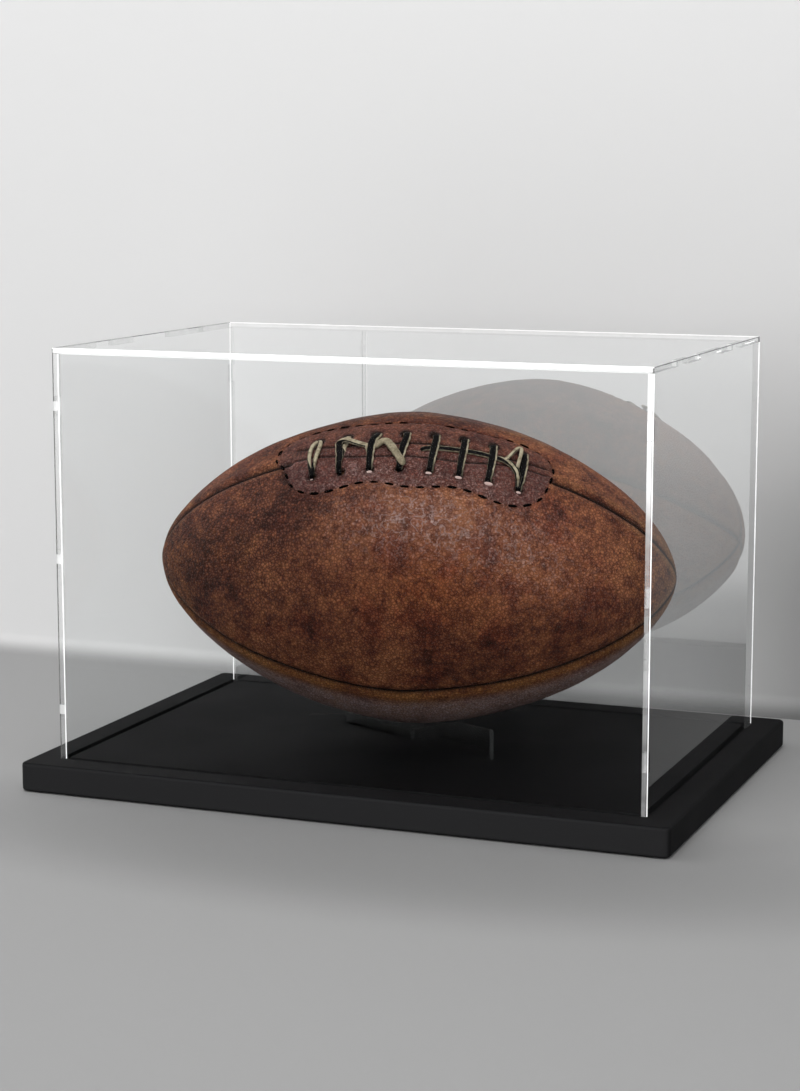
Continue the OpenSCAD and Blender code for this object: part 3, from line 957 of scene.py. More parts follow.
def stitch_tree() -> Repeater:
    """Builds the tree that sews dashes along a line.

    Returns:
        The tree.
    """
    tree = Repeater("sewn_dashes", ("Spacing", *EXTENT))
    line = tree.add("GeometryNodeMeshToCurve", {}, {0: tree.given("Geometry")})
    inputs = {"Curve": line, "Length": tree.given("Spacing")}
    even = tree.add("GeometryNodeResampleCurve", {"mode": "LENGTH"}, inputs)
    tangent = tree.add("GeometryNodeInputTangent", {}, {})
    caught = tree.add("GeometryNodeCaptureAttribute", {"domain": "POINT"}, {0: even}).node
    caught.capture_items.new("VECTOR", "along")
    tree.tree.links.new(tangent, caught.inputs["along"])
    tree.lay_along(caught.outputs[0], tree.bead(10, 7), caught.outputs["along"], 0.14)
    return tree


def rim_tree() -> Repeater:
    """Builds the tree that sets a pale lip on each hole.

    Returns:
        The tree.
    """
    tree = Repeater("hole_rims")
    tree.lay_along(tree.given("Geometry"), tree.bead(18, 10), tree.kept("along"), 0.06, tree.kept("share", "FLOAT"))
    return tree


def block_tree() -> Repeater:
    """Builds the tree that sets a thin block on each point.

    Returns:
        The tree.
    """
    tree = Repeater("thin_blocks")
    block = tree.add("GeometryNodeMeshCube", {}, {"Size": tree.extent()})
    tree.lay_along(tree.given("Geometry"), block, tree.kept("along"), 0.0)
    return tree


# ---------------------------------------------------------------- studio


@dataclass(frozen=True)
class Lamp:
    """One soft square lamp: its place, the point that it lights, its side, its power and whether gloss shows it."""

    place: Point
    aim: Point
    size: float
    power: float
    mirrored: bool = True

    def hang(self, name: str) -> None:
        """Hangs the lamp.

        Args:
            name: Name of the lamp.
        """
        data = bpy.data.lights.new(name, "AREA")
        data.shape = "SQUARE"
        data.size = self.size
        data.energy = self.power
        lamp = link(name, data)
        lamp.location = self.place
        lamp.rotation_euler = (Vector(self.aim) - Vector(self.place)).to_track_quat("-Z", "Y").to_euler()
        lamp.visible_glossy = self.mirrored


@dataclass
class Studio:
    """Camera, soft lights, and a plain pale floor that sweeps up into the backdrop."""

    camera_place: Point = (0.4689, -1.2177, 0.3296)
    camera_pitch: float = 9.01
    camera_turn: float = 21.45
    lens: float = 81.12
    sensor: float = 36.0
    sight: float = 50.0
    wall_place: float = 0.2
    wall_lift: float = 0.0004
    wall_height: float = 4.0
    cove: float = 0.012
    cove_steps: int = 16
    half_width: float = 16.0
    world_strength: float = 0.72
    lamps: tuple[Lamp, ...] = (
        Lamp((0.12, -0.85, 1.65), (0.0, 0.0, 0.1), 0.8, 15.0),
        Lamp((-1.35, -0.25, 1.25), (-0.35, 0.45, 0.3), 0.9, 10.0),
        Lamp((0.6, -1.7, 0.62), (0.0, 0.0, 0.06), 0.9, 8.0, False),
    )

    def build(self) -> None:
        """Builds the whole studio."""
        self._camera()
        self._sweep()
        self._world()
        for number, lamp in enumerate(self.lamps):
            lamp.hang(f"soft_lamp_{number}")
        bpy.context.scene.view_settings.view_transform = "Standard"

    def _camera(self) -> None:
        """Sets the camera."""
        data = bpy.data.cameras.new("camera")
        data.lens = self.lens
        data.sensor_width = self.sensor
        data.sensor_fit = "AUTO"
        data.clip_end = self.sight
        camera = link("camera", data)
        camera.location = self.camera_place
        camera.rotation_euler = (math.radians(90 - self.camera_pitch), 0, math.radians(self.camera_turn))
        bpy.context.scene.camera = camera

    def _sweep(self) -> None:
        """Builds the floor, and the backdrop that rises from it and is clear when seen from behind."""
        reach, cove = self.half_width, self.cove
        corners = [(-reach, -reach, 0.0), (reach, -reach, 0.0), (reach, reach, 0.0), (-reach, reach, 0.0)]
        floor = new_piece("studio_floor", np.array(corners), [(0, 1, 2, 3)])
        # The floor carries a painted shadow round the front of the case.
        dress(floor, StudioPaint("floor_paint", srgb(151, 151, 151), contact=0.32).make())
        profile = []
        for step in range(self.cove_steps + 1):
            turn = math.radians(90 * step / self.cove_steps)
            back, up = cove * (1 - math.sin(turn)), cove * (1 - math.cos(turn))
            profile.append((self.wall_place - back, self.wall_lift + up))
        profile.append((self.wall_place, self.wall_height))
        points = [(side * reach, y, z) for y, z in profile for side in (-1, 1)]
        faces = [(2 * i, 2 * i + 1, 2 * i + 3, 2 * i + 2) for i in range(len(profile) - 1)]
        wall = new_piece("studio_wall", np.array(points), faces)
        # The backdrop carries painted shade towards the right and low down.
        dress(wall, StudioPaint("wall_paint", srgb(226, 226, 226), True, dusk=0.54).make())

    def _world(self) -> None:
        """Sets the even light of the room, which is plain white where it is seen, mirrored or seen through."""
        sheet = Sheet("room", world=True)
        bpy.context.scene.world = sheet.owner
        camera, glossy, through = (
            sheet.node("ShaderNodeLightPath", {}, {}, f"Is {kind} Ray") for kind in ("Camera", "Glossy", "Transmission")
        )
        soft = sheet.node("ShaderNodeBackground", {}, {"Strength": self.world_strength})
        white = sheet.node("ShaderNodeBackground", {}, {"Strength": 1.0})
        sheet.finish(sheet.mix(camera.most(glossy).most(through), soft, white))


# ---------------------------------------------------------------- base, cover and stand


@dataclass
class Base:
    """Black base board on four rubber pads."""

    board: str = "base_board"
    pads: tuple[str, ...] = ("foot_pad_front_left", "foot_pad_front_right", "foot_pad_back_left", "foot_pad_back_right")

    def build(self) -> None:
        """Dresses the board and its pads."""
        dress(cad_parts[self.board], BoardLacquer().make())
        rubber = PadRubber().make()
        for pad in self.pads:
            dress(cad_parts[pad], rubber)
        LOG.info("base: %s and %d pads", self.board, len(self.pads))


class CoverSlot(IntEnum):
    """Material slots of a cover panel."""

    OUTER = 0
    INNER = 1
    EDGE = 2
    GREY = 3
    DIM = 4


@dataclass
class ClearSheets:
    """Clear sheet parts whose broad faces are polished and whose cut edges get a painted glow.

    Each side of the cover has the axis of its thickness and the sheen of its inner face. Lengths whose names start
    with "sheet", "tab" or "arris" are in millimetres, and the others in metres.
    """

    sides: dict[str, tuple[int, Sheen]] = field(
        default_factory=lambda: {
            "front": (1, Sheen.FAINT),
            "back": (1, Sheen.BACK),
            "left": (0, Sheen.SIDE),
            "right": (0, Sheen.SIDE),
            "top": (2, Sheen.FAINT),
        }
    )
    sheet: float = 3.0
    tab_width: float = 10.0
    tab_first: float = 30.0
    tab_pitch: float = 80.0
    tab_count: int = 3
    tab_glint_depth: float = 0.1
    tab_glint_short: float = 5.0
    tab_glint_long: float = 0.3
    arris: float = 0.42
    arris_proud: float = 0.04
    edge_end: float = 0.0007
    crown_depth: float = 0.0025
    small_face: float = 4e-5
    gap: float = 0.0004
    glints: tuple[tuple[float, float], ...] = ((-0.027, -0.021), (0.0125, 0.021), (0.073, 0.094))

    def build(self) -> None:
        """Dresses the five panels of the cover."""
        outer = ClearFace("clear_outer_face", Sheen.FAINT).make()
        broad = {
            "left": ClearFace("clear_quiet_face", Sheen.FAINT, grazing=0.05).make(),
            "right": ClearFace("clear_glancing_face", Sheen.FAINT, one_sided=True, grazing=1.0).make(),
        }
        inner = {
            sheen: ClearFace(f"clear_inner_{sheen.name.lower()}", sheen, one_sided=True, grazing=grazing).make()
            for sheen, grazing in ((Sheen.FAINT, 0.75), (Sheen.SIDE, 0.14), (Sheen.BACK, 0.75))
        }
        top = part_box("cover_top_panel")[1]
        # The cut edges get painted glows of different strength: full on most, only in the top few millimetres on the
        # top panel's, dim on the back and left panels, and a faint grey painted line on the faces that the slots pick.
        bright = CutEdge(widest=top[0] - self.edge_end).make()
        crown = CutEdge("cut_edge_crown", lowest=top[2] - self.crown_depth).make()
        dim = CutEdge("cut_edge_dim", even(0.85), glow=0.3, crest=0.2, body=0.16, foot=0.12, behind=0.5).make()
        grey = CutEdge("cut_edge_grey", even(0.3), glow=0.1, crest=0.3, body=0.14, foot=0.1).make()
        edges = {"back": dim, "left": dim, "top": crown}
        for side, (axis, sheen) in self.sides.items():
            name = f"cover_{side}_panel"
            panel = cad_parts[name]
            dress(panel, broad.get(side, outer), inner[sheen], edges.get(side, bright), grey, dim)
            middle = (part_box(name)[0][axis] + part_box(name)[1][axis]) / 2
            for face in panel.data.polygons:
                face.material_index = self._slot_of(face, side, middle)
            LOG.info("cover: %s", name)
        low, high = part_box("cover_front_panel")[0][0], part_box("cover_front_panel")[1][0]
        half = self.sheet * MM / 2
        # Painted highlight: thin glowing blocks over the tab ends, softer on the left and full on the right.
        soft = CutEdge("tab_glint", glow=0.4, crest=0.5, body=0.5, foot=0.4).make()
        self._tab_glints("tab_glints_left", low + half, self.tab_width - self.tab_glint_short, soft)
        self._tab_glints("tab_glints_right", high - half, self.tab_width - self.tab_glint_long, bright)
        self._arrises()

    def _slot_of(self, face: bpy.types.MeshPolygon, side: str, middle: float) -> CoverSlot:
        """Gives the material slot of one face of a panel.

        Args:
            face: The face.
            side: Side of the cover.
            middle: Middle of the panel along the axis of its thickness.

        Returns:
            The slot.
        """
        normal, axis = face.normal, self.sides[side][0]
        if abs(normal[axis]) > FLAT_ON:
            return CoverSlot.INNER if (normal[axis] > 0) != (middle > 0) else CoverSlot.OUTER
        sideways, upright = abs(normal[0]) > FLAT_ON, abs(normal[2]) > FLAT_ON
        tiny = face.area < self.small_face
        if {"top": sideways or tiny, "front": sideways, "left": upright, "right": upright}.get(side):
            return CoverSlot.GREY
        return CoverSlot.DIM if side in ("left", "right") and normal[1] > FLAT_ON else CoverSlot.EDGE

    def _tab_glints(self, name: str, x: float, length: float, material: bpy.types.Material) -> None:
        """Sets a thin glowing block over the end of each upright tab of one side: a painted highlight, so that a corner
        reads as one bright line.

        Args:
            name: Name of the piece.
            x: Place of the tabs across the cover.
            length: Height of a block in millimetres.
            material: Finish of the blocks.
        """
        y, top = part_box("cover_front_panel")[0][1] - self.tab_glint_depth / 2 * MM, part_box("cover_top_panel")[1][2]
        levels = [top - (self.tab_first + level * self.tab_pitch) * MM for level in range(self.tab_count)]
        points = np.array([(x, y, z) for z in levels])
        ones = np.ones((len(points), 1))
        carrier = new_carrier("tab_glint_points", points, ones * (0, 1, 0), ones * (0, 0, 1))
        tab_glints = block_tree().run(name, carrier, (length, self.sheet, self.tab_glint_depth), 1, material)
        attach(tab_glints, "cover")
        LOG.info("cover: %s, %d faces", tab_glints.name, len(tab_glints.data.polygons))

    def _arrises(self) -> None:
        """Lays thin painted lines over the arrises of the cover: bright ones for the light that they catch, with short
        glints along the top of the right side, and dark ones for their shade.
        """
        boxes = {side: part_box(f"cover_{side}_panel") for side in self.sides}
        low = Vector((boxes["left"][0][0], boxes["front"][0][1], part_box("base_board")[1][2]))
        high = Vector((boxes["right"][1][0], boxes["back"][1][1], boxes["top"][1][2]))
        left, front, foot = low
        right, back, top = high
        inset = self.sheet * MM
        under, inner = top - inset, left + inset
        # The shaded lines are painted shade, and the bright lines painted light.
        shaded = [((left, front, foot), (left, front, top))]
        bright = [((left, back, foot), (left, back, top))]
        for y in (front, back):
            bright += [((right, y, foot), (right, y, under)), ((left, y, top), (right, y, top))]
            shaded += [((x, y, under), (x, y, top - self.gap)) for x in (right, right - self.gap)]
        bright.append(((inner, front, foot), (inner, front, under)))
        shaded += [((x, front, top), (x, back, top)) for x in (left, right)]
        bright += [((right, start, top - inset / 2), (right, end, top - inset / 2)) for start, end in self.glints]
        middle = (low + high) / 2
        pale = CutEdge("arris_line", even(1.0), glow=0.7, crest=0.95, body=0.8, foot=0.6)
        self._lines("arris_lines", bright, middle, pale)
        dark = CutEdge("arris_shade", even(0.16), glow=0.0, crest=0.7, body=0.7, foot=0.6)
        self._lines("arris_shades", shaded, middle, dark)

    def _lines(self, name: str, bars: Sequence[tuple[Point, Point]], middle: Vector, finish: CutEdge) -> None:
        """Lays thin square lines just over the arrises.

        Args:
            name: Name of the piece.
            bars: Both ends of each line.
            middle: Middle of the cover.
            finish: Finish of the lines.
        """
        half = self.arris / 2 * MM
        points, faces = [], []
        for start, end in (map(Vector, bar) for bar in bars):
            first = len(points)
            for corner in range(8):
                far = [corner >> axis & 1 for axis in range(3)]
                spot = Vector([(end if far[axis] else start)[axis] for axis in range(3)])
                for axis in range(3):
                    if start[axis] == end[axis]:
                        inward = 1 if middle[axis] > start[axis] else -1
                        spot[axis] += inward * (2 * half if far[axis] else -self.arris_proud * half)
                points.append(spot)
            signs = [1 if middle[a] > start[a] or start[a] != end[a] else -1 for a in range(3)]
            flip = signs[0] * signs[1] * signs[2] < 0
            faces += [tuple(first + k for k in (face[::-1] if flip else face)) for face in CUBE]
        piece = new_piece(name, np.array([tuple(p) for p in points]), faces, smooth=False)
        dress(piece, finish.make())
        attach(piece, "cover")
        LOG.info("cover: %s, %d lines", piece.name, len(bars))


@dataclass
class Stand:
    """Two crossed clear plates that cradle the ball."""

    plates: tuple[str, ...] = ("stand_lower_plate", "stand_upper_plate")

    def build(self) -> None:
        """Dresses both plates, whose broad faces are those of the direction with the largest area."""
        face = ClearFace("stand_face", Sheen.STAND).make()
        # The cut edges get a faint painted grey line, with no glow.
        dull = {"glow": 0.0, "crest": 0.12, "body": 0.12, "foot": 0.12, "behind": 0.4}
        edge = CutEdge("stand_edge", (0.42, 0.44, 0.44, 1.0), **dull).make()
        for name in self.plates:
            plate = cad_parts[name]
            dress(plate, face, edge)
            ways = [tuple(round(abs(v), 2) for v in polygon.normal) for polygon in plate.data.polygons]
            areas: Counter[tuple[float, ...]] = Counter()
            for way, polygon in zip(ways, plate.data.polygons):
                areas[way] += polygon.area
            broad = max(areas, key=areas.get)
            for way, polygon in zip(ways, plate.data.polygons):
                polygon.material_index = int(way != broad)
            LOG.info("stand: %s", name)


# ---------------------------------------------------------------- ball


@dataclass
class BallShape:
    """Outer shape of the ball and the way it lies in the case, in millimetres and degrees."""

    length: float = 278.5
    diameter: float = 167.0
    belly: float = 1.73
    tip: float = 0.58
    turn: float = 13.9
    tilt: float = 1.5
    seam_angle: float = 56.0

    def radius(self, x: np.ndarray | float, inset: float = 0.0) -> np.ndarray:
        """Gives the ball's radius at a distance along it.

        Args:
            x: Distance along the ball from its middle.
            inset: Depth below the outer surface.

        Returns:
            The radius.
        """
        part = np.clip(np.abs(np.asarray(x, float)) / (self.length / 2 - inset), 0, 1)
        return (self.diameter / 2 - inset) * np.power(1 - np.power(part, self.belly), self.tip)

    def centre(self) -> Vector:
        """Gives the middle of the ball in the case.

        Returns:
            The middle in metres.
        """
        corners = [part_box(f"ball_{side}_panel") for side in PANELS]
        low = Vector([min(c[0][k] for c in corners) for k in range(3)])
        high = Vector([max(c[1][k] for c in corners) for k in range(3)])
        return (low + high) / 2

    def placing(self) -> Matrix:
        """Gives the matrix that lays the ball in the case."""
        return (
            Matrix.Translation(self.centre())
            @ Matrix.Rotation(math.radians(self.turn), 4, "Z")
            @ Matrix.Rotation(math.radians(self.tilt), 4, "Y")
            @ Matrix.Rotation(math.radians(90 - self.seam_angle), 4, "X")
        )

    def lay(self, points: np.ndarray) -> np.ndarray:
        """Lays points of the ball's own frame in the case.

        Args:
            points: Points in millimetres, with X along the ball and Z out through the laced seam.

        Returns:
            The points in the case, in metres.
        """
        matrix = np.array(self.placing())
        return points * MM @ matrix[:3, :3].T + matrix[:3, 3]

    def on_skin(self, along: np.ndarray, across: np.ndarray, height: np.ndarray | float) -> np.ndarray:
        """Gives points by their place on the skin.

        Args:
            along: Distance along the ball.
            across: Distance round the ball from the laced seam.
            height: Height above the skin.

        Returns:
            The points in the ball's own frame.
        """
        radius = self.radius(along)
        angle = across / radius
        reach = radius + height
        return np.column_stack([along, reach * np.sin(angle), reach * np.cos(angle)])


@dataclass
class Lacing:
    """Places of the lace holes, the slit and the sewn edge of the facing, in millimetres on the skin."""

    count: int = 8
    pitch: float = 15.3
    offset: float = 4.2
    hole_offset: float = 13.5
    hole_radius: float = 2.1
    facing_middle: float = 3.8
    facing_half_length: float = 71.5
    facing_half_width: float = 25.0
    facing_squareness: float = 2.6
    lower_edge: float = 23.4
    lower_wave: float = 1.6
    lower_wave_place: float = 3.5
    lower_wave_length: float = 7.4
    upper_edge: float = 26.6
    upper_slope: float = 0.035
    upper_wave: float = 0.4
    upper_wave_length: float = 6.0

    def hole(self, number: int) -> float:
        """Gives the distance along the ball of a pair of holes."""
        return self.offset + (number - (self.count - 1) / 2) * self.pitch

    def holes(self) -> Iterator[tuple[float, float]]:
        """Gives the place of each hole along the ball and round it, pair by pair."""
        for number in range(self.count):
            for side in (-1, 1):
                yield self.hole(number), side * self.hole_offset

    def facing_distance(self, along: np.ndarray, across: np.ndarray) -> np.ndarray:
        """Gives the distance outside the sewn edge of the facing, negative inside it.

        The lower edge waves from hole to hole, and the upper edge comes nearer to the slit along the ball.

        Args:
            along: Distance along the ball.
            across: Distance round the ball from the laced seam.

        Returns:
            The distance.
        """
        straight = self.facing_half_length - self.facing_half_width
        beyond = np.maximum(np.abs(along - self.facing_middle) - straight, 0)
        lower = self.lower_edge + self.lower_wave * np.cos((along - self.lower_wave_place) / self.lower_wave_length)
        upper = self.upper_edge - self.upper_slope * along + self.upper_wave * np.sin(along / self.upper_wave_length)
        half = lower + (upper - lower) * ease(across, -8, 8)
        power = self.facing_squareness
        return np.power(np.power(beyond, power) + np.power(np.abs(across), power), 1 / power) - half

    def hole_distance(self, along: np.ndarray, across: np.ndarray) -> np.ndarray:
        """Gives the distance to the middle of the nearest lace hole."""
        return np.minimum.reduce([np.hypot(along - x, across - s) for x, s in self.holes()])


# Soft patches of each number over the skin: gain, middle along and round the ball, reach along and round it.
PATCHES: dict[str, tuple[tuple[float, ...], ...]] = {
    # Partly the leather's own lighter and darker places and partly painted light and shade.
    "tone": (
        (0.21, 14, -62, 56, 40),
        (-0.2, -92, -62, 34, 30),
        (-0.16, -70, -24, 24, 20),
        (0.12, 92, -44, 26, 30),
        (-0.1, -74, 8, 26, 30),
        (-0.14, 52, -108, 36, 22),
        (0.08, -20, -92, 40, 22),
        (0.26, 74, 36, 34, 20),
        (-0.1, -46, -22, 26, 16),
        (0.1, -104, -60, 26, 40),
        (-0.12, -20, 60, 70, 26),
        (-0.08, -118, -30, 24, 60),
        (-0.08, -126, -30, 20, 50),
    ),
    "worn": ((0.4, 96, 22, 26, 22), (0.3, 30, -52, 40, 22), (0.3, -40, 38, 60, 10)),
    # Where the pale painted highlight lies, mostly on the upper front.
    "bloom": ((1.0, 4, -42, 34, 17), (0.5, 58, -46, 34, 22), (0.3, -26, -12, 14, 8)),
    "olive": ((0.5, -104, -40, 26, 40), (-0.9, 20, -74, 34, 24), (-0.5, 84, -56, 30, 30)),
    # Where pebbles get painted highlight dots and deeper painted shade between them.
    "beads": ((0.85, -78, -50, 50, 46), (0.5, 0, -100, 60, 26), (0.3, 96, -30, 30, 60)),
}


@dataclass
class LeatherPanel:
    """One of the four leather panels, from one seam to the next."""

    name: str
    start: float
    end: float
    laced: bool
    shape: BallShape
    lacing: Lacing
    grey_haze: float = 0.0
    haze_from: float = 0.0
    leather: float = 2.8
    seam_depth: float = 2.4
    seam_width: float = 1.9
    least_wall: float = 0.25
    step_along: float = 1.5
    step_across: float = 1.7
    fine: float = 0.8
    seam_step: float = 0.55
    seam_reach: float = 7.0
    fine_from: float = -66.0
    fine_to: float = 78.0
    fine_reach: float = 30.0
    seam_gap: float = 0.0004
    samples_along: int = 20001
    samples_across: int = 4001
    open_samples: int = 6
    # How much paler the back and bottom panels are painted, as painted light.
    pale_tone: float = 0.36
    calm_radius: float = 16.0
    least_calm: float = 0.12
    swell: float = 0.45
    swell_place: float = 5.5
    swell_width: float = 3.4
    long_wave: float = 0.35
    short_wave: float = 0.1
    shut_left: tuple[float, float] = (-63.0, -57.0)
    shut_right: tuple[float, float] = (68.0, 75.0)
    shut_push: float = 9.0
    slit_depth: float = 1.1
    slit_shade: float = 1.2
    sewn_depth: float = 0.42
    hole_depth: float = 0.75

    def _lines_along(self) -> np.ndarray:
        """Gives the distances along the ball at which the mesh has a ring, evenly spaced over the skin.

        Returns:
            The distances in millimetres.
        """
        x = np.linspace(-self.shape.length / 2, self.shape.length / 2, self.samples_along)
        reach = np.concatenate([[0], np.cumsum(np.hypot(np.diff(x), np.diff(self.shape.radius(x))))])
        step = np.full(len(x), self.step_along)
        if self.laced:
            step[(x > self.fine_from) & (x < self.fine_to)] = self.fine
        lines = spaced(x, reach, step)
        lines[0], lines[-1] = x[self.open_samples], x[-1 - self.open_samples]
        return lines

    def _lines_across(self) -> np.ndarray:
        """Gives the angles, as shares from one seam to the next, at which the mesh has a line.

        Returns:
            The shares, just inside 0 and 1.
        """
        width = math.radians(self.end - self.start) * self.shape.diameter / 2
        marks = np.linspace(0, width, self.samples_across)
        step = np.full(len(marks), self.step_across)
        step[(marks < self.seam_reach) | (marks > width - self.seam_reach)] = self.seam_step
        if self.laced:
            near = width - marks if self.end == 0 else marks
            step[(near < self.fine_reach) & (step > self.fine)] = self.fine
        lines = spaced(marks, marks, step) / width
        return self.seam_gap + lines * (1 - 2 * self.seam_gap)

    def _relief(self, along: np.ndarray, angle: np.ndarray) -> tuple[np.ndarray, np.ndarray]:
        """Gives the height of the skin over its plain shape, and how much painted shade it gets.

        A seam lies deep between two puckered swells, and long and short waves run over the skin.

        Args:
            along: Distance along the ball.
            angle: Angle from the laced seam in radians.

        Returns:
            The height in millimetres and the painted shade from 0 to 1.
        """
        radius = self.shape.radius(along)
        from_start = (angle - math.radians(self.start)) * radius
        from_end = (math.radians(self.end) - angle) * radius
        edge = np.minimum(from_start, from_end)
        if self.laced:
            edge = np.minimum(edge + self.shut_push * self._shut(along), from_end if self.end else from_start)
        calm = np.clip(radius / self.calm_radius, self.least_calm, 1)
        pucker = 1 + 0.3 * np.sin(along * 1.15) * np.sin(along * 0.37 + 1)
        height = -self.seam_depth * calm * np.exp(-np.power(edge / (self.seam_width * calm), 1.25))
        height += self.swell * calm * fade(edge - self.swell_place, self.swell_width) * pucker
        slow, quick = along / 19 + 1.3 * np.sin(angle * 2.1), along / 5.3 + 2 * np.sin(angle * 7)
        height += self.long_wave * np.sin(slow) * np.sin(angle * 5 + along / 31) * calm
        height += self.short_wave * np.sin(quick) * np.sin(angle * 17 - along / 8) * calm
        # Painted shade in and beside the valley of the seam.
        grime = 1.0 * fade(edge, 1.15) + 0.3 * fade(edge, 3.2)
        return self._slit(along, angle * radius, height, grime) if self.laced else (height, grime)

    def _shut(self, along: np.ndarray) -> np.ndarray:
        """Gives 1 where the laced seam is a slit over the tongue, and 0 where it is sewn."""
        return ease(along, *self.shut_left) * (1 - ease(along, *self.shut_right))

    def _slit(
        self, along: np.ndarray, across: np.ndarray, height: np.ndarray, grime: np.ndarray
    ) -> tuple[np.ndarray, np.ndarray]:
        """Adds the relief and the painted shade of the slit, the facing and the lace holes.

        Args:
            along: Distance along the ball.
            across: Distance round the ball from the laced seam.
            height: Height of the skin so far.
            grime: Painted shade so far.

        Returns:
            The height in millimetres and the painted shade from 0 to 1.
        """
        shut = self._shut(along)
        upper = 6.0 + 0.5 * np.sin(along / 9) + 1.8 * ease(along, 20, 60) + 4.6 * (1 - ease(along, -64, -34))
        lower = -4.4 + 5.0 * (1 - ease(along, -56, -18)) + 7.0 * ease(along, 22, 64)
        # Painted shade along both lines of the slit, the facing's sewn edge, round the holes, just above each upper
        # hole and in the grooves of the ribs.
        for line in (upper, lower):
            height -= self.slit_depth * shut * fade(across - line, 0.8)
            grime += self.slit_shade * shut * fade(across - line, 0.85)
        band = ease(across, lower, lower + 1) * (1 - ease(across, upper - 1, upper)) * shut
        height -= 0.35 * band
        sewn = self.lacing.facing_distance(along, across)
        height -= self.sewn_depth * fade(sewn, 0.9) + 0.22 * ease(-sewn, -0.5, 1.2) * 0.6
        grime += 0.12 * fade(sewn, 1.2)
        hole = self.lacing.hole_distance(along, across)
        height -= self.hole_depth * np.exp(-np.clip(hole - self.lacing.hole_radius, 0, None) / 1.1)
        grime += 0.9 * (1 - ease(hole, 2.2, 3.8)) * np.where(across > 0, 1.0, 0.6)
        above = np.where(across > 0, self.lacing.hole_distance(along, across - 1.6), 9.0)
        grime += 0.9 * (1 - ease(above, 2.0, 4.2))
        ribs, groove = fade(along + 59, 4.5) * fade(across - 8, 4.5), ease(np.sin(along * 3.2), -0.2, 0.6)
        grime += 0.8 * ribs * groove
        height -= 0.2 * ribs * groove
        height += 0.3 * fade(hole - 6, 2.5) * np.sin(along * 0.8)
        return height, grime

    def _tones(self, along: np.ndarray, angle: np.ndarray) -> dict[str, np.ndarray]:
        """Gives the broad changes of tone over the skin, painted light among them, as numbers for the material.

        Args:
            along: Distance along the ball.
            angle: Angle from the laced seam in radians.

        Returns:
            The numbers at each point, by their name.
        """
        across = angle * self.shape.radius(along)
        lanes = {
            lane: sum(
                gain * np.exp(-np.square((along - x) / wide) - np.square((across - s) / high))
                for gain, x, s, wide, high in patches
            )
            for lane, patches in PATCHES.items()
        }
        edge = np.minimum(np.abs(angle - math.radians(self.start)), np.abs(angle - math.radians(self.end)))
        edge = edge * self.shape.radius(along)
        tip = ease(np.abs(along), 96, 138)
        # Painted light: the back and bottom panels are painted paler. The skin from a little past the laced seam round
        # over the top, back and bottom is a little darker.
        lanes["tone"] += (self.pale_tone if self.haze_from > 0 and not self.laced else 0.0) - 0.1 * ease(across, 26, 44)
        lanes["worn"] += (0.5 - 0.35 * (along < 0)) * tip + 0.45 * fade(edge - 4.4, 2.2)
        lanes["olive"] += 0.7 * tip + 0.8 * ease(across, 24, 44)
        for lane in ("worn", "bloom", "beads"):
            lanes[lane] = np.clip(lanes[lane], 0, 1)
        lanes["olive"] = np.clip(lanes["olive"], -1, 1)
        inside = ease(-self.lacing.facing_distance(along, across), -0.6, 1.2)
        lanes["facing"] = inside * (1 - 0.45 * ease(across, 0, 10))
        # Painted reflection: a pale grey haze over the panel, starting a set distance from its seams.
        lanes["haze"] = self.grey_haze * ease(edge, self.haze_from, self.haze_from + 12)
        return lanes

    def _snap_to_holes(self, along: np.ndarray, across: np.ndarray) -> np.ndarray:
        """Moves the points nearest each hole's edge onto it, and says which points lie in a hole.

        Args:
            along: Distance along the ball, which is changed.
            across: Distance round the ball from the laced seam, which is changed.

        Returns:
            Whether each point lies in a hole.
        """
        inside = np.zeros(along.shape, bool)
        radius = self.lacing.hole_radius
        near, far = radius - self.fine * 0.45, radius + self.fine * 0.55
        for x, s in self.lacing.holes():
            dx, ds = along - x, across - s
            reach = np.hypot(dx, ds)
            inside |= reach < near
            ring = (reach >= near) & (reach < far)
            scale = np.where(ring, radius / np.maximum(reach, 1e-6), 1.0)
            along += np.where(ring, dx * (scale - 1), 0)
            across += np.where(ring, ds * (scale - 1), 0)
        return inside

    def build(self) -> bpy.types.Object:
        """Builds the panel as a closed shell of leather with its holes cut through.

        Returns:
            The panel.
        """
        along, share = np.meshgrid(self._lines_along(), self._lines_across(), indexing="ij")
        angle = np.radians(self.start) + share * np.radians(self.end - self.start)
        across = angle * self.shape.radius(along)
        holes = np.zeros(along.shape, bool)
        if self.laced:
            holes = self._snap_to_holes(along, across)
            angle = across / self.shape.radius(along)
        height, grime = self._relief(along, angle)
        outer_radius = self.shape.radius(along) + height
        scale = (self.shape.length / 2 - self.leather) / (self.shape.length / 2)
        inner_radius = self.shape.radius(along * scale, self.leather)
        inner_radius = np.minimum(inner_radius, outer_radius - self.least_wall)
        shells = [
            np.stack([x, radius * np.sin(angle), radius * np.cos(angle)], -1).reshape(-1, 3)
            for x, radius in ((along, outer_radius), (along * scale, inner_radius))
        ]
        count = along.size
        index = np.arange(count).reshape(along.shape)
        quads = np.stack([index[:-1, :-1], index[:-1, 1:], index[1:, 1:], index[1:, :-1]], -1).reshape(-1, 4)
        kept = quads[~holes.reshape(-1)[quads].any(axis=1)]
        edges = [(quad[k], quad[(k + 1) % 4]) for quad in kept.tolist() for k in range(4)]
        known = set(edges)
        walls = [(b, a, a + count, b + count) for a, b in edges if (b, a) not in known]
        inner = kept[:, ::-1] + count
        used = np.zeros(2 * count, bool)
        used[kept.reshape(-1)] = True
        used[inner.reshape(-1)] = True
        renumber = np.cumsum(used) - 1
        faces = [tuple(renumber[list(f)]) for f in kept.tolist() + inner.tolist() + walls]
        piece = new_piece(self.name, self.shape.lay(np.vstack(shells))[used], faces)
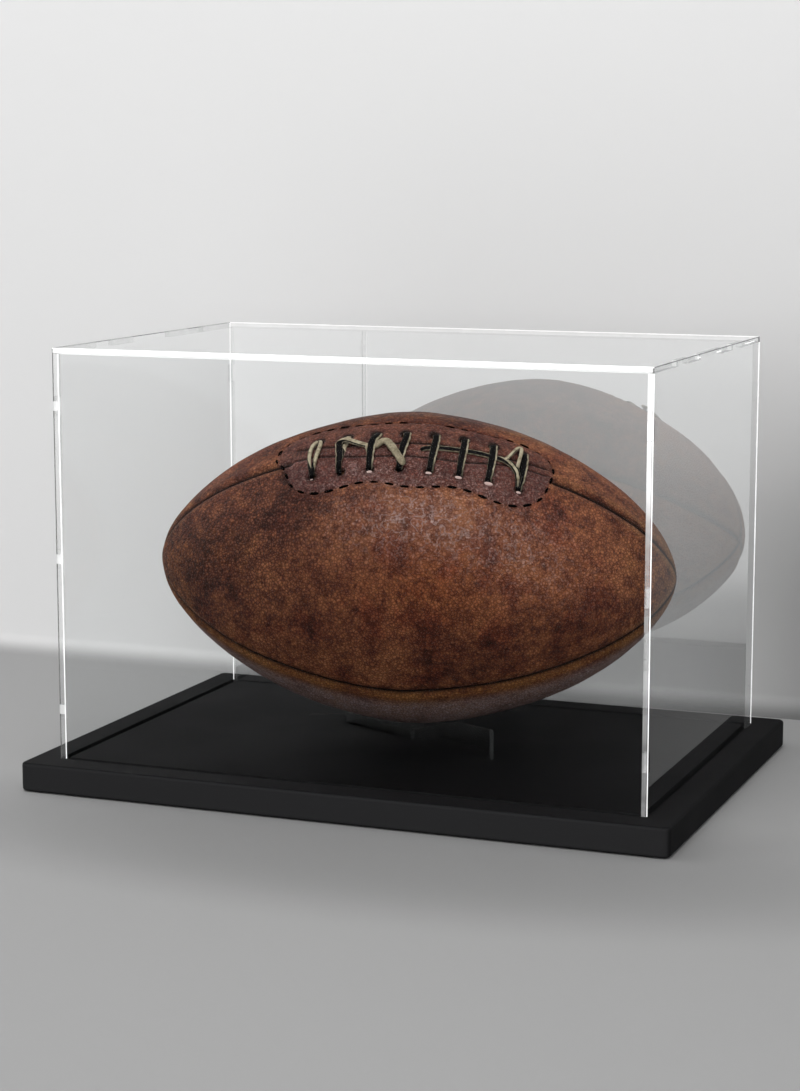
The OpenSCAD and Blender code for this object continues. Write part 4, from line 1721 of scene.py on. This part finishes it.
        lanes = self._tones(along, angle) | {"grime": np.clip(grime, 0, 1)}
        for lane, values in lanes.items():
            # The inner face of the shell gets half the painted shade, and none of the other numbers.
            flesh = np.full(count, 0.5 if lane == "grime" else 0.0)
            add_lane(piece, lane, np.concatenate([values.reshape(-1), flesh])[used])
        return piece


@dataclass
class Strand:
    """One strand of lace laid over the ball.

    Its bare stripes are rows of share along the path, and the place across it from which and to which it is pale.
    """

    path: Sequence[Point]
    width: float = 4.2
    thickness: float = 1.5
    bare: Sequence[Point] = ((0.0, 0.66, 1.3), (1.0, 0.66, 1.3))
    sides: int = 14
    rounded: float = 0.0
    step: float = 0.75
    squareness: float = 0.75
    steady: float = 0.55

    def _sideways(self, line: np.ndarray, upward: np.ndarray, tangent: np.ndarray) -> np.ndarray:
        """Gives the direction to the strand's side all along it, which turns smoothly where it dives.

        Args:
            line: Its line, as places on the skin.
            upward: Direction up from the skin at each of its points.
            tangent: Direction of the line at each of its points.

        Returns:
            The directions.
        """
        middle = int(np.argmax(line[:, 2] - 1e-3 * np.abs(np.arange(len(line)) - len(line) / 2)))
        side = np.zeros_like(tangent)
        start = np.cross(upward[middle], tangent[middle])
        side[middle] = start / np.linalg.norm(start)
        for order in (range(middle + 1, len(line)), range(middle - 1, -1, -1)):
            last = side[middle]
            for k in order:
                level = np.cross(upward[k], tangent[k])
                weight = np.linalg.norm(level)
                if weight > self.steady:
                    level = level / weight
                    if np.dot(level, last) < 0:
                        level = -level
                    last = last * 0.5 + level * 0.5
                last = last - tangent[k] * np.dot(last, tangent[k])
                last = last / np.linalg.norm(last)
                side[k] = last
        return side

    def _taper(self, k: int, part: float, across: float, height: float) -> float:
        """Gives the strand's width at one point as a share of its full width.

        Args:
            k: Number of the point.
            part: Its share of the way along the strand.
            across: Its distance round the ball from the laced seam.
            height: Its height above the skin.

        Returns:
            The share.
        """
        taper = 1 + 0.05 * math.sin(k * 0.9) + 0.04 * math.sin(k * 0.31 + 1)
        taper *= 0.74 + 0.26 * float(ease(height, -2.5, 0.6))
        if self.rounded == 0:
            return taper * (0.8 + 0.2 * float(ease(across, -13, -4)))
        beyond = max(0.0, (part - 1 + self.rounded) / self.rounded)
        return taper * max(0.12, math.sqrt(max(0.0, 1 - beyond**2.4)))

    def mesh(self, shape: BallShape) -> tuple[np.ndarray, list[tuple[int, ...]], dict[str, np.ndarray]]:
        """Sweeps the strand's section along its path.

        Args:
            shape: The ball that it lies on.

        Returns:
            Its points in the case, its faces, and the numbers for its material.
        """
        line = curve_through(np.array(self.path, float), self.step)
        spine = shape.on_skin(line[:, 0], line[:, 1], line[:, 2])
        upward = shape.on_skin(line[:, 0], line[:, 1], line[:, 2] + 1) - spine
        tangent = np.gradient(spine, axis=0)
        tangent /= np.linalg.norm(tangent, axis=1)[:, None]
        side = self._sideways(line, upward, tangent)
        over = np.cross(tangent, side)
        turns = np.linspace(0, 2 * math.pi, self.sides, endpoint=False)
        cosines, sines = (np.sign(way) * np.abs(way) ** self.squareness for way in (np.cos(turns), np.sin(turns)))
        rings, sides = len(spine), self.sides
        parts = np.arange(rings) / (rings - 1)
        points = []
        for k, (_, across, height) in enumerate(line):
            taper = self._taper(k, parts[k], across, height)
            flat = np.outer(cosines * self.width / 2 * taper, side[k])
            thick = np.outer(sines * self.thickness / 2 * (taper if self.rounded > 0 else 1.0), over[k])
            points.extend(spine[k] + flat + thick)
        faces = []
        for start in range(0, (rings - 1) * sides, sides):
            pairs = ((start + j, start + (j + 1) % sides) for j in range(sides))
            faces += [(a, b, b + sides, a + sides) for a, b in pairs]
        faces.append(tuple(range(sides - 1, -1, -1)))
        faces.append(tuple((rings - 1) * sides + j for j in range(sides)))
        stripes = np.array(self.bare, float)
        lanes = {
            "low": np.interp(parts, stripes[:, 0], stripes[:, 1]),
            "high": np.interp(parts, stripes[:, 0], stripes[:, 2]),
            # The pale parts fade as the strand dives into a hole, which is painted shade there, and are dimmer towards
            # the lower holes.
            "fresh": ease(line[:, 2], -1.6, 0.5) * (0.3 + 0.7 * ease(line[:, 1], -12.5, -6.5)),
        }
        lanes = {lane: np.repeat(values, sides) for lane, values in lanes.items()}
        return shape.lay(np.array(points)), faces, lanes | {"across": np.tile(cosines, rings)}


@dataclass
class Football:
    """Old laced football of four leather panels."""

    shape: BallShape = field(default_factory=BallShape)
    lacing: Lacing = field(default_factory=Lacing)
    front_angle: float = 98.0
    stitch_sizes: tuple[float, ...] = (8.2, 5.0, 1.6, 0.9)
    rim_sizes: tuple[float, ...] = (4.2, 2.1, 1.2)
    outline_points: int = 720
    halvings: int = 26
    outline_near: float = 5.0
    outline_far: float = 120.0

    def build(self) -> None:
        """Builds the panels, the lace and the stitches, and dresses what lies inside."""
        self._panels()
        self._lace()
        self._stitches()
        self._rims()
        self._inside()

    def _panels(self) -> None:
        """Builds the four leather panels."""
        other = (360 - self.front_angle) / 3
        leather = OldLeather().make()
        spans = {
            "front": (-self.front_angle, 0.0, True),
            "top": (0.0, other, True),
            "back": (other, 2 * other, False),
            "bottom": (2 * other, 3 * other, False),
        }
        # For each panel, the share of the painted grey reflection and its distance from the seams; the back and bottom
        # panels are also painted paler.
        greying = {"front": (0.0, 0.0), "top": (0.26, 34.0), "back": (0.3, 6.0), "bottom": (1.0, 4.0)}
        for side, span in spans.items():
            panel = LeatherPanel(f"leather_{side}", *span, self.shape, self.lacing, *greying[side]).build()
            dress(panel, leather)
            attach(panel, "ball")
            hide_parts(f"ball_{side}_panel")
            LOG.info("ball: %s, %d faces", panel.name, len(panel.data.polygons))

    def _crossing(self, number: int, over: Sequence[tuple[float, ...]], height: float = 1.05) -> list[Point]:
        """Gives the path of one crossing, down through both of its holes.

        Args:
            number: Number of the crossing.
            over: Its points over the skin, from the upper hole to the lower one, each with any extra height.
            height: Height of the strand's middle above the skin.

        Returns:
            The control points of its path.
        """
        x, s = self.lacing.hole(number), self.lacing.hole_offset
        first, last = over[0], over[-1]
        path = [(x, s, -5.0), (x * 0.5 + first[0] * 0.5, s + 0.2, -1.6), (first[0], s - 0.6, 0.55)]
        path += [(p[0], p[1], height + 0.25 * math.cos(p[1] / 9) + sum(p[2:])) for p in over[1:-1]]
        path += [(last[0], -s + 0.6, 0.5), (x * 0.5 + last[0] * 0.5, -s - 0.2, -1.6), (x, -s, -5.0)]
        return path

    def _strands(self) -> list[Strand]:
        """Gives every strand of the lace that lies over the skin.

        Returns:
            The strands.
        """
        plain = {
            3: [(-2.3, 13), (-2.0, 8), (-3.0, -1), (-3.4, -8), (-3.2, -13)],
            4: [(13.0, 13), (13.4, 8), (13.1, -1), (12.8, -9), (12.6, -13)],
            5: [(27.8, 13), (28.1, 8), (27.9, -1), (27.7, -9), (27.6, -13)],
            6: [(42.4, 13), (42.9, 8), (43.0, -1), (42.7, -9), (42.2, -12.6)],
            7: [(58.4, 13), (59.0, 8), (59.0, 0), (58.6, -8), (57.8, -13)],
        }
        third = [(-17.6, 13), (-17.6, 9, 0.8), (-19.0, 4.2, 1.9), (-19.5, -2.5, 0.8), (-19.2, -9), (-19.0, -13)]
        second = [(-33.6, 13), (-33.4, 9), (-34.6, 4, -0.4), (-35.4, -3, -1.2), (-35.2, -9, -1.6), (-34.9, -12)]
        left = [(-50.2, 14), (-52.2, 9), (-52.7, 2), (-51.7, -6), (-49.8, -12)]
        right = [(-48.9, 14.4), (-48.0, 9), (-48.6, 1), (-49.1, -6), (-49.2, -12)]
        slit_run = [
            (5.0, 0.9, -2.0), (8.2, 1.5, 0.2), (15.4, 2.3, 0.7), (21, 2.8, 0.7), (28.0, 3.4, 0.6),
            (36, 3.7, 0.7), (43.0, 3.4, 0.6), (48.0, 2.8, 1.0), (52.4, 0.8, 1.4), (55.6, -3.2, 1.7),
            (57.0, -7.6, 1.7), (57.2, -11.6, 1.0), (57.6, -13.4, -1.6), (57.8, -13.6, -5.0),
        ]
        short_loop = [
            (48.5, 2.0, 0.9), (51.0, 5.4, 1.9), (53.2, 10.4, 2.3), (55.0, 15.0, 2.2),
            (56.6, 14.6, 2.4), (56.9, 9.0, 2.8), (56.4, 3.0, 2.6), (55.9, -1.0, 2.0),
        ]
        turned_end = [
            (-35.2, -13.6, -4.5), (-35.3, -12.8, -0.8), (-35.5, -9.6, 1.7), (-35.9, -3.4, 2.1),
            (-36.9, 1.8, 2.3), (-37.2, 5.4, 2.7), (-34.8, 7.2, 3.0), (-31.2, 6.2, 2.5),
            (-27.0, 4.4, 1.8), (-23.0, 2.8, 1.3), (-19.4, 1.8, 0.8), (-16.5, 2.6, 0.8),
        ]
        flipped = ((0.0, -0.5, 1.3), (0.4, -0.5, 1.3), (0.5, 1.5, 1.6), (1.0, 1.5, 1.6))
        footed = ((0.0, -0.7, 1.3), (0.58, -0.7, 1.3), (0.72, 0.3, 1.3), (0.8, 1.4, 1.6), (1.0, 1.5, 1.6))
        crossed = ((0.0, 0.55, 1.3), (0.6, 0.55, 1.3), (0.7, -0.45, 0.4), (1.0, -0.45, 0.4))
        pale = ((0.0, -0.8, 1.3), (1.0, -0.8, 1.3))
        turned = ((0.0, 0.8, 1.3), (0.5, 0.8, 1.3), (0.58, -0.5, 1.3), (1.0, -0.5, 1.3))
        return [
            *(Strand(self._crossing(number, over)) for number, over in plain.items()),
            Strand(self._crossing(2, third)),
            Strand(self._crossing(1, second, 0.9), width=3.0, thickness=1.2, bare=flipped),
            Strand(self._crossing(0, left), width=2.1, thickness=1.8, bare=footed),
            Strand(self._crossing(0, right, 1.3), width=2.3, thickness=1.8, bare=footed),
            Strand(slit_run, width=3.3, thickness=1.5, bare=crossed),
            Strand(short_loop, width=2.0, thickness=1.4, bare=pale),
            Strand(turned_end, width=3.7, thickness=1.3, bare=turned),
        ]

    def _loose_end(self) -> Strand:
        """Gives the thick suede end that comes out under the third crossing and curls into the fourth lower hole."""
        path = [
            (-22.5, 0.6, 0.5), (-20.0, 1.2, 0.9), (-17.6, 2.2, 1.3), (-15.4, 3.6, 1.8), (-13.4, 4.4, 2.2),
            (-11.5, 3.4, 2.4), (-9.4, 0.6, 2.4), (-7.2, -2.8, 2.4), (-5.0, -6.4, 2.4), (-3.0, -9.4, 2.3),
            (-1.6, -11.6, 2.0), (-0.9, -12.8, 1.4),
        ]
        return Strand(path, width=4.0, thickness=2.6, rounded=0.12)

    def _inner_runs(self) -> list[Strand]:
        """Gives the runs of the lace under the leather, from one pair of holes to the next.

        Returns:
            The strands.
        """
        runs, s = [], self.lacing.hole_offset
        for number in range(self.lacing.count - 1):
            x, onward = self.lacing.hole(number), self.lacing.hole(number + 1)
            path = [(x, -s, -4.6), (x + 1, -s + 1.5, -5.6), ((x + onward) / 2, 0, -5.9)]
            path += [(onward - 1, s - 1.5, -5.6), (onward, s, -4.6)]
            runs.append(Strand(path, width=3.2, thickness=1.4, sides=10))
        return runs

    def _join(self, name: str, strands: Sequence[Strand], material: bpy.types.Material) -> bpy.types.Object:
        """Joins strands into one piece.

        Args:
            name: Name of the piece.
            strands: The strands.
            material: Its material.

        Returns:
            The piece.
        """
        points, faces, lanes, start = [], [], [], 0
        for strand in strands:
            more_points, more_faces, more_lanes = strand.mesh(self.shape)
            points.append(more_points)
            faces += [tuple(start + k for k in face) for face in more_faces]
            lanes.append(more_lanes)
            start += len(more_points)
        piece = new_piece(name, np.vstack(points), faces)
        for lane in lanes[0]:
            add_lane(piece, lane, np.concatenate([each[lane] for each in lanes]))
        dress(piece, material)
        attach(piece, "ball")
        LOG.info("ball: %s, %d faces", name, len(piece.data.polygons))
        return piece

    def _lace(self) -> None:
        """Builds the lace."""
        crossings = self._join("lace_thong", self._strands() + self._inner_runs(), ThongLeather().make())
        rough = {"fibre": 1.1, "roughness": 0.85, "gloss": 0.1, "contrast": 2.2}
        suede = PlainLeather("suede", srgb(176, 164, 138), srgb(82, 74, 58), **rough)
        loose = self._join("lace_loose_end", [self._loose_end()], suede.make())
        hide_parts("ball_lace")
        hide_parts("ball_lace")

    def _carrier(
        self, name: str, along: np.ndarray, across: np.ndarray, height: np.ndarray | float, ring: bool
    ) -> bpy.types.Object:
        """Makes the points on the skin that a tree repeats a piece on, each lying along the ball.

        Args:
            name: Name of the carrier.
            along: Distances along the ball.
            across: Distances round it from the laced seam.
            height: Height above the skin.
            ring: Whether the points are joined into a closed line.

        Returns:
            The carrier.
        """
        points = self.shape.lay(self.shape.on_skin(along, across, height))
        upward = self.shape.lay(self.shape.on_skin(along, across, height + 1.0)) - points
        lengthwise = self.shape.lay(self.shape.on_skin(along + 0.5, across, height)) - points
        edges = [(k, (k + 1) % len(points)) for k in range(len(points))] if ring else []
        return new_carrier(name, points, upward, lengthwise, edges)

    def _facing_outline(self) -> tuple[np.ndarray, np.ndarray]:
        """Gives the sewn edge of the facing as a closed line on the skin, found by halving along each ray.

        Returns:
            The distances along the ball and round it.
        """
        turns = np.linspace(0, 2 * math.pi, self.outline_points + 1)[:-1]
        cosines, sines = (np.array([way(turn) for turn in turns]) for way in (math.cos, math.sin))
        low, high = (np.full(len(turns), limit) for limit in (self.outline_near, self.outline_far))
        for _ in range(self.halvings):
            middle = (low + high) / 2
            along = self.lacing.facing_middle + cosines * middle
            inside = self.lacing.facing_distance(along, sines * middle) < 0
            low, high = np.where(inside, middle, low), np.where(inside, high, middle)
        return self.lacing.facing_middle + cosines * low, sines * low

    def _stitches(self) -> None:
        """Sews the dashes round the facing."""
        along, across = self._facing_outline()
        sunk = 0.48 * ease(across, 6, 16) * ease(np.sin(along * 0.19 + 0.6), -0.3, 0.5)
        carrier = self._carrier("stitch_line", along, across, -0.1 - sunk, True)
        dull = {"fibre": 0.5, "roughness": 0.9, "gloss": 0.03}
        thread = PlainLeather("dark_thread", srgb(10, 7, 6), srgb(4, 3, 3), **dull).make()
        stitches = stitch_tree().run("facing_stitches", carrier, self.stitch_sizes, 7, thread)
        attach(stitches, "ball")
        LOG.info("ball: %s, %d faces", stitches.name, len(stitches.data.polygons))

    def _rims(self) -> None:
        """Sets the pale rims on the lower lace holes."""
        sizes = {0: 0.4, 2: 0.72, 4: 0.74, 5: 0.82, 6: 1.05, 7: 0.66}
        along, shares = np.array([self.lacing.hole(n) for n in sizes]), np.array(list(sizes.values()))
        across = -self.lacing.hole_offset - self.lacing.hole_radius + 0.5 * shares
        carrier = self._carrier("rim_points", along, across, -0.3, False)
        add_lane(carrier, "share", shares)
        rim_finish = {"fibre": 0.6, "roughness": 0.6}
        pale = PlainLeather("pale_rim", srgb(220, 200, 194), srgb(172, 136, 126), **rim_finish).make()
        rims = rim_tree().run("hole_rims", carrier, self.rim_sizes, 3, pale)
        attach(rims, "ball")
        LOG.info("ball: %s, %d faces", rims.name, len(rims.data.polygons))

    def _inside(self) -> None:
        """Dresses the parts of the ball that lie under the leather."""
        lining, rubber = WovenLining().make(), BladderRubber().make()
        split = PlainLeather("split_leather", srgb(112, 78, 56), srgb(58, 38, 28)).make()
        for side in PANELS:
            dress(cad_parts[f"ball_{side}_lining"], lining)
        dress(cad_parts["ball_bladder"], rubber)
        for name in ("lace_tongue", "lace_front_facing", "lace_top_facing"):
            dress(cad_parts[name], split)


def main() -> None:
    """Builds the studio and every part of the case."""
    logging.basicConfig(level=logging.INFO, format="%(name)s: %(message)s")
    for part in (Studio(), Base(), ClearSheets(), Stand(), Football()):
        part.build()


if __name__ == "__main__":
    main()
